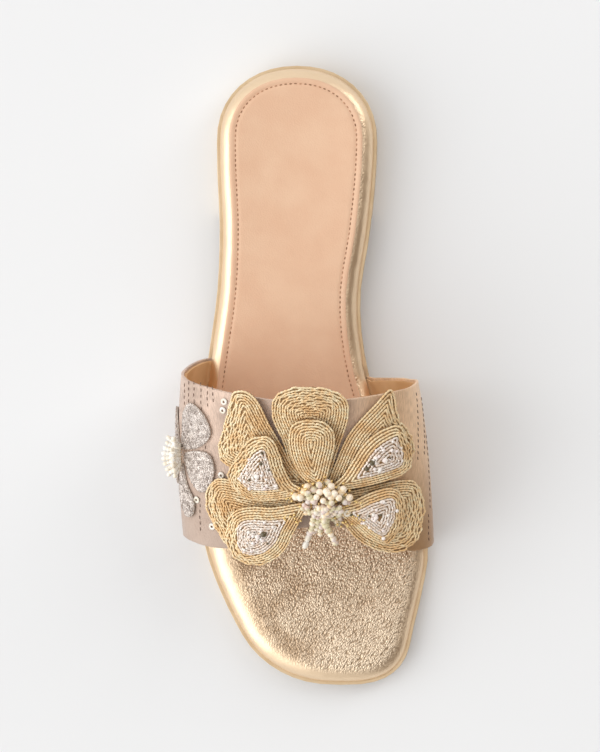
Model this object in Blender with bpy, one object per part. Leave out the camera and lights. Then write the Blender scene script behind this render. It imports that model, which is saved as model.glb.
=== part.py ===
"""Right-foot slide sandal: one wide strap that carries a large thread flower and a smaller sequin flower.

Frame: toe towards -Y, heel towards +Y, outer side of the foot towards -X, inner side towards +X, +Z up.
The origin is on the ground, under the middle of the bounding box. Sizes and tables are in millimetres;
they become metres where `world` makes a point. `back` is always the distance from the heel's back end.
"""

import math
from collections import namedtuple
from functools import lru_cache

import bmesh
import bpy
import numpy as np
from mathutils import Matrix, Vector

MM = 0.001
GAP = 0.3  # air between pieces that touch on the real sandal

# ---------------------------------------------------------------------------
# Driving sizes
# ---------------------------------------------------------------------------

LENGTH = 252.0  # of the sole, heel to toe
MIDDLE = -0.6  # where the bounding box's middle lies across, in the tables' own measure
HEEL_CAP, HEEL_POWER = 30.0, 2.15  # length and squareness of the sole's round back end
TOE_CAP, TOE_POWER = 22.0, 2.7  # the toe is squarer

# One row for each place along the sole: its middle line and half its width, the outsole's underside where
# there is no heel, the outsole's top, the footbed's top, the width of the footbed's rolled edge, and how far
# the footbed's middle stands over that edge.
SoleRow = namedtuple("SoleRow", "back centre half_width ground board top roll crown")
SOLE = [
    SoleRow(0, -2.4, 32.3, 8.0, 12.0, 19.5, 5.0, -1.2),
    SoleRow(41, -2.4, 32.3, 8.0, 12.0, 19.0, 5.0, -1.4),
    SoleRow(68, -3.2, 30.5, 7.4, 11.4, 18.2, 5.0, -1.0),
    SoleRow(95, -5.9, 29.3, 5.5, 9.5, 16.3, 5.0, -0.5),
    SoleRow(113, -6.7, 31.2, 3.8, 7.8, 14.7, 5.2, -0.3),
    SoleRow(133, -5.9, 34.9, 1.9, 6.0, 13.0, 5.5, 0.0),
    SoleRow(151, -3.0, 39.8, 0.6, 4.7, 11.8, 6.0, 0.2),
    SoleRow(167, 0.4, 43.6, 0.0, 4.0, 11.1, 6.5, 0.4),
    SoleRow(182, 3.2, 45.6, 0.0, 4.0, 11.0, 7.0, 0.6),
    SoleRow(197, 5.5, 45.6, 0.0, 4.0, 11.0, 7.5, 0.7),
    SoleRow(215, 7.4, 41.0, 0.7, 4.6, 11.6, 7.5, 0.7),
    SoleRow(233, 10.0, 34.3, 2.2, 6.0, 13.0, 7.5, 0.6),
    SoleRow(252, 15.6, 27.8, 4.6, 8.2, 15.2, 7.5, 0.4),
]

HEEL_SEAT, HEEL_BREAST = 60.0, 2.0  # length of the low heel, and how far its front face slopes
SOLE_CHAMFER = 0.8
LIP = 1.2  # outsole showing round the footbed
ROLL_HEIGHT = 5.4  # of the footbed's rolled edge
BED_PARTS = 4  # facets across the footbed's top
TREAD_PITCH, TREAD_WIDTH, TREAD_DEPTH, TREAD_MARGIN = 8.0, 1.8, 1.2, 9.0  # grooves across the outsole
TREAD_SPANS = ((12.0, 52.0), (160.0, 208.0))

SOCK_INSET = 5.6  # sole's edge to the sock lining's edge
SOCK_THICKNESS = 1.0
SOCK_FRONT = 164.0  # its front end, hidden under the strap

STRAP_WALL = 2.2
STRAP_FOLD = 0.8  # rounding of its folded edges
MARGIN = 10.0  # how much of the strap lies under the footbed
BEND_RADIUS = 3.4  # of the strap's outside, where it comes out from under the footbed
SLOT_HEIGHT = 3.3  # room for the margin under the footbed
SLOT_SLACK = 0.8
WALL_LEAN = 1.7  # power of the curve from the bend out to the widest place
OUTER_POWER, INNER_POWER = 2.0, 2.5  # squareness of the strap's shoulders: the inner wall is steeper

# The form that the strap is lasted on: the widest places of its outer and inner walls, their height, and the
# crown.
StrapRow = namedtuple("StrapRow", "back outer_x inner_x wide_z crown_x crown_z")
STRAP = [
    StrapRow(106, -46.0, 42.6, 35.0, -1.5, 76.5),
    StrapRow(124, -47.5, 46.2, 33.0, 1.5, 71.0),
    StrapRow(136, -48.6, 48.8, 32.0, 3.5, 66.8),
    StrapRow(150, -49.2, 50.6, 30.0, 5.0, 61.5),
    StrapRow(165, -49.2, 52.0, 28.0, 6.5, 55.8),
    StrapRow(180, -48.6, 53.0, 25.5, 8.0, 50.2),
    StrapRow(195, -47.2, 53.4, 23.0, 9.5, 44.8),
    StrapRow(212, -44.0, 52.5, 20.0, 11.0, 39.0),
]

# The way round the strap, from the outer margin over the crown to the inner margin: the share of the way at
# which each stretch ends, and how many facets it has.
Stretch = namedtuple("Stretch", "name end facets")
STRETCHES = [
    Stretch("outer_margin", 0.05, 2),
    Stretch("outer_bend", 0.07, 3),
    Stretch("outer_wall", 0.18, 4),
    Stretch("outer_shoulder", 0.50, 11),
    Stretch("inner_shoulder", 0.82, 11),
    Stretch("inner_wall", 0.93, 4),
    Stretch("inner_bend", 0.95, 3),
    Stretch("inner_margin", 1.00, 2),
]
STRAP_FACETS_ALONG = 8

# Where the strap's back and front edges lie, by the share of the way round.
EdgeRow = namedtuple("EdgeRow", "share back_edge front_edge")
STRAP_EDGES = [
    EdgeRow(0.00, 118.0, 194.0),
    EdgeRow(0.07, 118.5, 193.0),
    EdgeRow(0.18, 124.0, 190.5),
    EdgeRow(0.26, 128.0, 194.2),
    EdgeRow(0.32, 130.7, 195.4),
    EdgeRow(0.42, 134.7, 188.5),
    EdgeRow(0.50, 136.5, 185.5),
    EdgeRow(0.60, 134.5, 188.5),
    EdgeRow(0.70, 131.1, 196.0),
    EdgeRow(0.76, 128.8, 194.8),
    EdgeRow(0.82, 127.0, 193.0),
    EdgeRow(0.93, 126.0, 195.0),
    EdgeRow(1.00, 126.0, 195.5),
]

# Petals. `angle` turns in degrees from the heel's direction to the inner side, and lengths are along the
# strap.
PetalRow = namedtuple("PetalRow", "name angle reach width widest squareness")
BACK_PETALS = [
    PetalRow("back", -2, 44.5, 31, 0.75, 3.4),
    PetalRow("inner_back", 43, 52, 27, 0.78, 3.4),
    PetalRow("inner_front", 102, 45.5, 27, 0.76, 3.2),
    PetalRow("outer_front", 262, 45.5, 25, 0.74, 3.0),
    PetalRow("outer_back", 319, 50, 24, 0.76, 3.2),
]
FRONT_PETALS = [
    PetalRow("back", -4, 31.5, 19.5, 0.66, 2.2),
    PetalRow("inner_back", 62, 42.5, 20, 0.74, 2.3),
    PetalRow("inner_front", 104, 39, 22, 0.70, 2.4),
    PetalRow("outer_front", 238, 41.5, 26, 0.60, 2.0),
    PetalRow("outer_back", 293, 38.5, 26, 0.62, 2.0),
]
SIDE_PETALS = [
    PetalRow("1", 36, 24, 17, 0.62, 2.2),
    PetalRow("2", 106, 22, 17, 0.62, 2.2),
    PetalRow("3", 172, 25, 16, 0.64, 2.2),
    PetalRow("4", 244, 22, 16, 0.62, 2.2),
    PetalRow("5", 316, 22, 16, 0.62, 2.2),
]

# A flower: its centre by the arc from the crown and by `back`, the radius left free in its middle, and how
# far its petals' tips curl up from the strap at a reach of `curl_reach`.
Flower = namedtuple("Flower", "arc back free_radius curl curl_reach")
BIG_FLOWER = Flower(1.0, 174.0, 5.0, 2.4, 50.0)
SIDE_FLOWER = Flower(-60.0, 157.5, 2.5, 0.4, 20.0)
BACK_PETAL_THICKNESS = 2.0
FRONT_PETAL_THICKNESS, FRONT_PETAL_DOME = 1.6, 2.4
SIDE_PETAL_THICKNESS, SIDE_PETAL_DOME = 1.2, 0.5
PETAL_POINTS = 9  # facets along each side of a petal
PETAL_ROOT = 1.6  # half width where a petal starts
PETAL_ROOT_RISE = 0.8  # how much thicker the front petals are under the pearls
WIDEST_SECTOR = 60.0  # degrees either side, where no neighbour is nearer

CENTRE_RADIUS, CENTRE_HEIGHT = 10.0, 4.5  # the mound that the pearls cover
MOUND_FACETS = 14
PEARLS, PEARL_RADIUS, PEARL_CROWN = 26, 1.7, 1.3
DROPS, DROP_BEADS, DROP_BEAD_RADIUS, DROP_PITCH = 5, 6, 1.5, 1.8  # strings of beads that hang to the toe's side
DROP_TURN, DROP_FAN = 181.0, 36.0  # their middle direction, and the angle between the outermost two
STAMENS, STAMEN_LENGTH, STAMEN_SPREAD, STEM_RADIUS = 8, 3.5, 4.5, 0.5

# Finishes: linear red, green and blue, then roughness and metallic value.
Finish = namedtuple("Finish", "colour roughness metallic")
FINISHES = {
    "outsole_tan": Finish((0.50, 0.36, 0.22), 0.45, 0.3),
    "gold_leather": Finish((0.62, 0.46, 0.28), 0.32, 0.85),
    "nude_leather": Finish((0.80, 0.50, 0.33), 0.55, 0.0),
    "rose_fabric": Finish((0.56, 0.40, 0.31), 0.6, 0.0),
    "gold_thread": Finish((0.66, 0.46, 0.21), 0.35, 0.7),
    "silver_sequin": Finish((0.72, 0.70, 0.68), 0.25, 0.8),
    "pearl": Finish((0.85, 0.76, 0.62), 0.2, 0.0),
}


# ---------------------------------------------------------------------------
# Tables, points and meshes
# ---------------------------------------------------------------------------


@lru_cache(maxsize=None)
def smooth(table, column, place):
    """The column's value at `place`, on a smooth curve through the rows of that table."""
    rows = TABLES[table]
    places = [row[0] for row in rows]
    values = [getattr(row, column) for row in rows]
    slopes = np.gradient(values, places)
    place = min(max(place, places[0]), places[-1])
    i = min(max(int(np.searchsorted(places, place)) - 1, 0), len(places) - 2)
    span = places[i + 1] - places[i]
    t = (place - places[i]) / span
    start, end = values[i], values[i + 1]
    return float(
        (2 * t**3 - 3 * t**2 + 1) * start
        + (t**3 - 2 * t**2 + t) * span * slopes[i]
        + (3 * t**2 - 2 * t**3) * end
        + (t**3 - t**2) * span * slopes[i + 1]
    )


TABLES = {"sole": SOLE, "strap": STRAP, "edges": STRAP_EDGES}


def world(x, back, z):
    """A point in metres, from its place across, its distance from the heel's back end and its height."""
    return Vector(((x - MIDDLE) * MM, (LENGTH / 2 - back) * MM, z * MM))


def material(name):
    """The Principled material of that finish, made once."""
    made = bpy.data.materials.get(name)
    if made is None:
        made = bpy.data.materials.new(name)
        made.use_nodes = True
        shader = made.node_tree.nodes["Principled BSDF"]
        finish = FINISHES[name]
        shader.inputs["Base Color"].default_value = (*finish.colour, 1)
        shader.inputs["Roughness"].default_value = finish.roughness
        shader.inputs["Metallic"].default_value = finish.metallic
    return made


def new_object(name, bm, finish):
    """Makes a bmesh an object of that name and finish, shaded smooth up to 35 degrees."""
    bmesh.ops.recalc_face_normals(bm, faces=bm.faces)
    mesh = bpy.data.meshes.new(name)
    bm.to_mesh(mesh)
    bm.free()
    mesh.shade_smooth()
    mesh.set_sharp_from_angle(angle=math.radians(35))
    mesh.materials.append(material(finish))
    obj = bpy.data.objects.new(name, mesh)
    bpy.context.scene.collection.objects.link(obj)
    return obj


def new_ring(bm, points):
    """A closed ring of new vertices and edges."""
    verts = [bm.verts.new(point) for point in points]
    edges = [bm.edges.new((verts[k - 1], verts[k])) for k in range(len(verts))]
    return verts, edges


def loft(bm, rings):
    """Bridges closed rings of points into a tube, and returns the first and the last ring's vertices."""
    made = [new_ring(bm, ring) for ring in rings]
    for (_, edges), (_, next_edges) in zip(made, made[1:]):
        bmesh.ops.bridge_loops(bm, edges=edges + next_edges)
    return made[0][0], made[-1][0]


def cut(obj, cutter):
    """Takes the cutter's shape out of an object."""
    cutter.hide_render = True
    cutter.display_type = "WIRE"
    boolean = obj.modifiers.new("cut", "BOOLEAN")
    boolean.operation = "DIFFERENCE"
    boolean.object = cutter


# ---------------------------------------------------------------------------
# The sole's outline and heights
# ---------------------------------------------------------------------------


def half_width(back):
    """Half the sole's width, with its two round ends."""
    share = 1.0
    for room, cap, power in ((back, HEEL_CAP, HEEL_POWER), (LENGTH - back, TOE_CAP, TOE_POWER)):
        if room < cap:
            share *= max(0.0, 1 - (1 - room / cap) ** power) ** (1 / power)
    return smooth("sole", "half_width", back) * share


def stations():
    """Places along the sole, closer together at the round ends, with a pair at the heel's front face."""
    count = 44
    even = [LENGTH * (1 - math.cos(math.pi * k / count)) / 2 for k in range(count + 1)]
    apart = [b for b in even if abs(b - HEEL_SEAT - HEEL_BREAST / 2) > 3]
    return sorted(apart + [HEEL_SEAT, HEEL_SEAT + HEEL_BREAST])


def outline(inset):
    """The inner and the outer side of the sole's outline, moved inwards by inset(back), from heel to toe."""
    backs = LENGTH * (1 - np.cos(np.linspace(0, np.pi, 361))) / 2
    insets = np.array([inset(b) for b in backs])[:, None]
    sides = []
    for sign in (1, -1):
        edge = np.array([(smooth("sole", "centre", b) + sign * half_width(b), b) for b in backs])
        tangent = np.gradient(edge, axis=0)
        tangent[0], tangent[-1] = (sign, 0), (-sign, 0)
        tangent /= np.linalg.norm(tangent, axis=1)[:, None]
        normal = np.column_stack((-tangent[:, 1], tangent[:, 0])) * sign
        moved = edge + normal * insets
        rising = np.maximum.accumulate(moved[:, 1])
        first, last = moved[0, 1], moved[-1, 1]
        places = [first + (last - first) * b / LENGTH for b in stations()]
        sides.append([(float(np.interp(b, rising, moved[:, 0])), float(b)) for b in places])
    return sides


def sole_ring(inset, height):
    """Points round the sole at inset(back) and height(back): up its inner side and back down its outer."""
    inner, outer = outline(inset)
    return [world(x, b, height(b)) for x, b in inner + outer[-2:0:-1]]


def board(back):
    """Height of the outsole's top."""
    return smooth("sole", "board", back)


def underside(back):
    """Height of the outsole's underside: the low heel and the ball of the foot stand on the ground."""
    return 0.0 if back <= HEEL_SEAT else max(0.0, smooth("sole", "ground", back))


def roll(back):
    """Distance from the sole's edge to where the footbed's rolled edge ends."""
    return LIP + smooth("sole", "roll", back)


def bed_height(x, back):
    """Height of the footbed's top inside its rolled edge, cupped at the heel and crowned at the ball."""
    room = max(half_width(back) - roll(back), 1.0)
    across = min(abs(x - smooth("sole", "centre", back)) / room, 1.0)
    ends = min(max((min(back, LENGTH - back) - roll(back)) / 25, 0.0), 1.0)
    rise = smooth("sole", "crown", back) * (1 - across**2) * ends**2 * (3 - 2 * ends)
    return smooth("sole", "top", back) + rise


def close_across(bm, ring, parts=1):
    """Closes a ring made by sole_ring with faces from side to side, in `parts` that follow the bed's top."""
    count = len(ring)
    rows = [[ring[0]]]
    for k in range(1, count // 2):
        start, end = ring[k], ring[count - k]
        row = [start]
        for step in range(1, parts):
            point = start.co.lerp(end.co, step / parts)
            back = LENGTH / 2 - point.y / MM
            point.z = bed_height(point.x / MM + MIDDLE, back) * MM
            row.append(bm.verts.new(point))
        rows.append(row + [end])
    rows.append([ring[count // 2]])
    for row, after in zip(rows, rows[1:]):
        for k in range(max(len(row), len(after)) - 1):
            corners = [row[min(k, len(row) - 1)], row[min(k + 1, len(row) - 1)]]
            corners += [after[min(k + 1, len(after) - 1)], after[min(k, len(after) - 1)]]
            bm.faces.new(list(dict.fromkeys(corners)))


# ---------------------------------------------------------------------------
# Sole pieces
# ---------------------------------------------------------------------------


def build_outsole():
    """Outsole and low heel in one, with a chamfered foot and shallow grooves across its two ground faces."""
    rings = [
        sole_ring(lambda b: SOLE_CHAMFER, underside),
        sole_ring(lambda b: 0.0, lambda b: underside(b) + SOLE_CHAMFER),
        sole_ring(lambda b: 0.0, board),
    ]
    bm = bmesh.new()
    bottom, top = loft(bm, rings)
    close_across(bm, bottom)
    close_across(bm, top)
    outsole = new_object("outsole", bm, "outsole_tan")

    grooves = bmesh.new()
    for start, end in TREAD_SPANS:
        for k in range(int((end - start) / TREAD_PITCH) + 1):
            back = start + k * TREAD_PITCH
            centre = world(smooth("sole", "centre", back), back, 0)
            size = (2 * (half_width(back) - TREAD_MARGIN) * MM, TREAD_WIDTH * MM, 2 * TREAD_DEPTH * MM)
            place = Matrix.Translation(centre) @ Matrix.Diagonal((*size, 1))
            bmesh.ops.create_cube(grooves, size=1.0, matrix=place)
    cut(outsole, new_object("tread_cutter", grooves, "outsole_tan"))


def build_footbed():
    """Padded footbed with a rolled edge, and a slot under each side for the strap's margin."""
    rings = [
        sole_ring(lambda b: LIP, lambda b: board(b) + GAP),
        sole_ring(lambda b: LIP, lambda b: smooth("sole", "top", b) - ROLL_HEIGHT),
    ]
    for degrees in (25, 50, 72, 90):
        turn = math.radians(degrees)
        rings.append(
            sole_ring(
                lambda b, c=math.cos(turn): LIP + (roll(b) - LIP) * (1 - c),
                lambda b, s=math.sin(turn): smooth("sole", "top", b) - ROLL_HEIGHT * (1 - s),
            )
        )
    bm = bmesh.new()
    bottom, top = loft(bm, rings)
    close_across(bm, bottom)
    close_across(bm, top, parts=BED_PARTS)
    footbed = new_object("footbed", bm, "gold_leather")

    slots = bmesh.new()
    for sign, first, last in ((-1, 0.0, 0.07), (1, 1.0, 0.93)):
        start = min(smooth("edges", "back_edge", s) for s in (first, last)) - SLOT_SLACK
        end = max(smooth("edges", "front_edge", s) for s in (first, last)) + SLOT_SLACK
        sections = []
        for back in np.linspace(start, end, 9):
            edge = smooth("sole", "centre", back) + sign * half_width(back)
            corners = ((4.0, -1.0), (4.0, SLOT_HEIGHT), (-MARGIN - 4.0, SLOT_HEIGHT), (-MARGIN - 4.0, -1.0))
            sections.append([world(edge + sign * x, back, board(back) + z) for x, z in corners])
        for ring in loft(slots, sections):
            slots.faces.new(ring)
    cut(footbed, new_object("slot_cutter", slots, "gold_leather"))


def build_sock_lining():
    """Thin leather sheet on the footbed, from the heel to under the strap."""
    inner, outer = outline(lambda b: SOCK_INSET)
    bm = bmesh.new()
    rows = []
    for (inner_x, back), (outer_x, _) in zip(inner, outer):
        if back > SOCK_FRONT:
            break
        spread = np.linspace(inner_x, outer_x, BED_PARTS + 1) if rows else [inner_x]
        rows.append([bm.verts.new(world(x, back, bed_height(x, back) + GAP)) for x in spread])
    for row, after in zip(rows, rows[1:]):
        for k in range(BED_PARTS):
            corners = [row[min(k, len(row) - 1)], row[min(k + 1, len(row) - 1)], after[k + 1], after[k]]
            bm.faces.new(list(dict.fromkeys(corners)))
    raised = bmesh.ops.extrude_face_region(bm, geom=bm.faces[:])["geom"]
    verts = [item for item in raised if isinstance(item, bmesh.types.BMVert)]
    bmesh.ops.translate(bm, verts=verts, vec=(0, 0, SOCK_THICKNESS * MM))
    new_object("sock_lining", bm, "nude_leather")


# ---------------------------------------------------------------------------
# The strap's form
# ---------------------------------------------------------------------------


def half_section(back, sign):
    """One side of the strap's outside, from its margin's end up to the crown, as stretches of (x, z) points."""
    wide_x = smooth("strap", "outer_x" if sign < 0 else "inner_x", back)
    power = OUTER_POWER if sign < 0 else INNER_POWER
    wide_z, crown_z = smooth("strap", "wide_z", back), smooth("strap", "crown_z", back)
    crown_x = smooth("strap", "crown_x", back)

    proud = STRAP_WALL - LIP + 0.5
    base_x = smooth("sole", "centre", back) + sign * (half_width(back) + proud)
    floor = board(back) + GAP
    lean = math.atan(WALL_LEAN * abs(wide_x - base_x) / (wide_z - floor))
    bend_x = base_x - sign * BEND_RADIUS * math.cos(lean)
    base_z = floor + BEND_RADIUS * (1 - math.sin(lean))

    even = np.linspace(0, 1, 41)
    margin = np.column_stack((bend_x - sign * MARGIN * (1 - even), np.full(41, floor)))
    turn = -math.pi / 2 + even * (math.pi / 2 - lean)
    bend = np.column_stack(
        (bend_x + sign * BEND_RADIUS * np.cos(turn), floor + BEND_RADIUS * (1 + np.sin(turn)))
    )
    wall = np.column_stack((wide_x + (base_x - wide_x) * (1 - even) ** WALL_LEAN, base_z + (wide_z - base_z) * even))
    sweep = even * math.pi / 2
    shoulder = np.column_stack(
        (
            wide_x + (crown_x - wide_x) * (1 - np.cos(sweep) ** (2 / power)),
            wide_z + (crown_z - wide_z) * np.sin(sweep) ** (2 / power),
        )
    )
    return [margin, bend, wall, shoulder]


@lru_cache(maxsize=None)
def section(back):
    """The strap's outside at that place, as stretches of points with their arc lengths."""
    outer = half_section(back, -1)
    inner = [stretch[::-1] for stretch in half_section(back, 1)[::-1]]
    made = []
    for stretch in outer + inner:
        steps = np.linalg.norm(np.diff(stretch, axis=0), axis=1)
        made.append((stretch, np.concatenate(([0], np.cumsum(steps)))))
    return made


def strap_at_share(share, back):
    """A point of the strap's outside, by the share of the way round it."""
    start = 0.0
    for stretch, (points, arcs) in zip(STRETCHES, section(back)):
        if share <= stretch.end + 1e-9:
            arc = arcs[-1] * (share - start) / (stretch.end - start)
            return world(np.interp(arc, arcs, points[:, 0]), back, np.interp(arc, arcs, points[:, 1]))
        start = stretch.end
    raise ValueError("share is over 1")


@lru_cache(maxsize=None)
def arc_section(back):
    """The strap's outside at that place, without its margins, by the arc length from the crown."""
    stretches = section(back)[1:-1]
    points = np.concatenate([part[0] for part in stretches])
    steps = np.linalg.norm(np.diff(points, axis=0), axis=1)
    arcs = np.concatenate(([0], np.cumsum(steps)))
    crown = sum(len(part[0]) for part in stretches[: len(stretches) // 2]) - 1
    return points, arcs - arcs[crown]


def strap_at_arc(arc, back):
    """A point of the strap's outside, by the arc length from its crown, carried on past the strap's edges."""
    points, arcs = arc_section(back)
    return world(np.interp(arc, arcs, points[:, 0]), back, np.interp(arc, arcs, points[:, 1]))


def over_strap(arc, back, lift):
    """A point `lift` over the strap's outside, measured square to it."""
    round_it = strap_at_arc(arc + 0.6, back) - strap_at_arc(arc - 0.6, back)
    along_it = strap_at_arc(arc, back + 0.6) - strap_at_arc(arc, back - 0.6)
    normal = along_it.cross(round_it).normalized()
    return strap_at_arc(arc, back) + normal * (lift * MM)


def ring_shares():
    """The shares of the way round at which the strap has a row of vertices."""
    shares, start = [0.0], 0.0
    for stretch in STRETCHES:
        shares += [start + (stretch.end - start) * (k + 1) / stretch.facets for k in range(stretch.facets)]
        start = stretch.end
    return shares


def build_strap():
    """The upper: one band with a real wall, open at the heel side, at the toe side and underneath."""
    shares = ring_shares()
    bm = bmesh.new()
    rows = []
    for share in shares:
        back_edge = smooth("edges", "back_edge", share)
        front_edge = smooth("edges", "front_edge", share)
        places = np.linspace(back_edge, front_edge, STRAP_FACETS_ALONG + 1)
        rows.append([bm.verts.new(strap_at_share(share, float(back))) for back in places])
    for row, after in zip(rows, rows[1:]):
        for k in range(STRAP_FACETS_ALONG):
            bm.faces.new((row[k], row[k + 1], after[k + 1], after[k]))
    strap = new_object("strap", bm, "rose_fabric")

    wall = strap.modifiers.new("wall", "SOLIDIFY")
    wall.thickness = STRAP_WALL * MM
    wall.offset = -1.0
    wall.use_even_offset = True
    fold = strap.modifiers.new("fold", "BEVEL")
    fold.width = STRAP_FOLD * MM
    fold.segments = 2
    fold.limit_method = "ANGLE"
    fold.angle_limit = math.radians(55)
    return strap


# ---------------------------------------------------------------------------
# Flowers
# ---------------------------------------------------------------------------


def petal_half_width(row, share):
    """Half a petal's width at that share of its length: a teardrop with a blunt tip."""
    if share < row.widest:
        grown = share / row.widest
        return PETAL_ROOT + (row.width / 2 - PETAL_ROOT) * math.sin(grown * math.pi / 2) ** 1.1
    past = (share - row.widest) / (1 - row.widest)
    return row.width / 2 * max(0.0, 1 - past**row.squareness) ** (1 / row.squareness)


def petal_outline(row, flower, neighbours):
    """A petal's outline as (across, along) pairs, kept inside the sector between its neighbours."""
    sides = []
    for side in (1, -1):
        turns = [(side * (other.angle - row.angle)) % 360 for other in neighbours if other is not row]
        sector = math.radians(min(min(turns) / 2, WIDEST_SECTOR))
        line = []
        for k in range(PETAL_POINTS + 1):
            share = (1 - math.cos(math.pi * k / PETAL_POINTS)) / 2
            along = flower.free_radius + (row.reach - flower.free_radius) * share
            room = (along * math.sin(sector) - GAP) / math.cos(sector)
            line.append((side * min(petal_half_width(row, share), room), along))
        sides.append(line)
    right, left = sides
    return right + left[-2::-1]


def build_petal(name, row, flower, neighbours, lift, thickness, dome, finish):
    """One petal that follows the strap at `lift` over it, thicker in its middle by `dome`."""
    points = petal_outline(row, flower, neighbours)
    middle = np.mean(points, axis=0)
    turn = math.radians(row.angle)

    def ring(scale, height):
        made = []
        for point in points:
            across, along = middle + (np.array(point) - middle) * scale
            arc = flower.arc + along * math.sin(turn) + across * math.cos(turn)
            back = flower.back - along * math.cos(turn) + across * math.sin(turn)
            curl = flower.curl * (math.hypot(across, along) / flower.curl_reach) ** 2
            made.append(over_strap(arc, back, lift + curl + height))
        return made

    rings = [ring(0.45, 0), ring(0.97, 0), ring(1.0, thickness * 0.5), ring(0.93, thickness)]
    rings += [ring(0.7, thickness + dome * 0.6), ring(0.35, thickness + dome)]
    bm = bmesh.new()
    for end in loft(bm, rings):
        bm.faces.new(end)
    return new_object(name, bm, finish)


def build_flowers():
    """Ten petals of the big flower in two layers, and five of the side flower."""
    above = 3.5 * GAP + BACK_PETAL_THICKNESS
    for row in BACK_PETALS:
        build_petal(
            "back_petal_" + row.name, row, BIG_FLOWER, BACK_PETALS, GAP, BACK_PETAL_THICKNESS, 0.0, "gold_thread"
        )
    for row in FRONT_PETALS:
        build_petal(
            "front_petal_" + row.name, row, BIG_FLOWER, FRONT_PETALS, above, FRONT_PETAL_THICKNESS,
            FRONT_PETAL_DOME, "gold_thread",
        )
    for row in SIDE_PETALS:
        build_petal(
            "side_petal_" + row.name, row, SIDE_FLOWER, SIDE_PETALS, GAP, SIDE_PETAL_THICKNESS,
            SIDE_PETAL_DOME, "silver_sequin",
        )


def add_bead(bm, centre, radius):
    """A round bead with few facets."""
    bmesh.ops.create_icosphere(bm, subdivisions=1, radius=radius * MM, matrix=Matrix.Translation(centre))


def join(obj, parts):
    """Makes one body of an object and the overlapping shells in another."""
    parts.hide_render = True
    parts.display_type = "WIRE"
    union = obj.modifiers.new("join", "BOOLEAN")
    union.operation = "UNION"
    union.use_self = True
    union.object = parts


def new_mound(name, flower, foot, radius, height, finish):
    """A low round mound on a flower's middle: its foot follows the strap at `foot` over it."""
    rings = []
    for scale, rise in ((0.55, 0), (1.0, 0.4), (0.75, 0.8), (0.3, 1.0)):
        ring = []
        for k in range(MOUND_FACETS):
            turn = 2 * math.pi * k / MOUND_FACETS
            arc = flower.arc + radius * scale * math.sin(turn)
            back = flower.back - radius * scale * math.cos(turn)
            ring.append(over_strap(arc, back, foot + height * rise))
        rings.append(ring)
    bm = bmesh.new()
    for end in loft(bm, rings):
        bm.faces.new(end)
    return new_object(name, bm, finish)


def build_pearl_centre():
    """Pearls set close on a mound over the petals' roots, with strings of beads that hang towards the toe."""
    foot = 4 * GAP + BACK_PETAL_THICKNESS + FRONT_PETAL_THICKNESS + PETAL_ROOT_RISE
    flower = BIG_FLOWER
    centre = new_mound("pearl_centre", flower, foot, CENTRE_RADIUS, CENTRE_HEIGHT, "pearl")
    beads = bmesh.new()
    golden = math.pi * (3 - math.sqrt(5))
    for k in range(PEARLS):
        share = math.sqrt((k + 0.5) / PEARLS)
        arc = flower.arc + CENTRE_RADIUS * share * math.sin(k * golden)
        back = flower.back + CENTRE_RADIUS * share * math.cos(k * golden)
        rise = CENTRE_HEIGHT * math.sqrt(PEARL_CROWN - share**2)
        add_bead(beads, over_strap(arc, back, foot + rise), PEARL_RADIUS)
    for string in range(DROPS):
        turn = math.radians(DROP_TURN + DROP_FAN * (string / (DROPS - 1) - 0.5))
        for bead in range(DROP_BEADS):
            reach = CENTRE_RADIUS - 1 + bead * DROP_PITCH
            fall = (bead + 1) / DROP_BEADS
            lift = (foot + CENTRE_HEIGHT * 0.4) * (1 - fall**1.5) + (GAP + DROP_BEAD_RADIUS) * fall**1.5
            place = over_strap(flower.arc + reach * math.sin(turn), flower.back - reach * math.cos(turn), lift)
            add_bead(beads, place, DROP_BEAD_RADIUS)
    join(centre, new_object("centre_beads", beads, "pearl"))


def build_side_stamens():
    """A tuft of short beaded wires in the side flower's middle."""
    foot = 2 * GAP + SIDE_PETAL_THICKNESS
    flower = SIDE_FLOWER
    tuft = new_mound("side_stamens", flower, foot, STAMEN_SPREAD * 0.8, 1.6, "pearl")
    stems = bmesh.new()
    golden = math.pi * (3 - math.sqrt(5))
    for k in range(STAMENS):
        share = math.sqrt((k + 0.5) / STAMENS)
        across, along = math.sin(k * golden) * share, math.cos(k * golden) * share
        root = over_strap(flower.arc + 1.5 * across, flower.back + 1.5 * along, foot + 0.8)
        tip = over_strap(
            flower.arc + STAMEN_SPREAD * across, flower.back + STAMEN_SPREAD * along, foot + STAMEN_LENGTH
        )
        rod = tip - root
        place = Matrix.Translation((root + tip) / 2) @ rod.to_track_quat("Z", "Y").to_matrix().to_4x4()
        bmesh.ops.create_cone(
            stems, cap_ends=True, segments=5, radius1=STEM_RADIUS * MM, radius2=STEM_RADIUS * MM,
            depth=rod.length, matrix=place,
        )
        add_bead(stems, tip, DROP_BEAD_RADIUS)
    join(tuft, new_object("stamen_stems", stems, "pearl"))


for old in list(bpy.data.objects):
    bpy.data.objects.remove(old, do_unlink=True)
build_outsole()
build_footbed()
build_sock_lining()
build_strap()
build_flowers()
build_pearl_centre()
build_side_stamens()
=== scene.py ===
"""The looks of a right-foot slide sandal: gold leather footbed, rose fabric strap, thread flower, pearls.

Toe towards -Y, heel towards +Y, outer side of the foot towards -X, +Z up. Sizes in tables and constants
are in millimetres, and MM turns them into metres. The camera, the floor and the lights are in metres.
"""

import math
import random
from collections import namedtuple

import bmesh
import bpy
import numpy as np
from mathutils import Matrix, Vector
from mathutils.bvhtree import BVHTree


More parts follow.
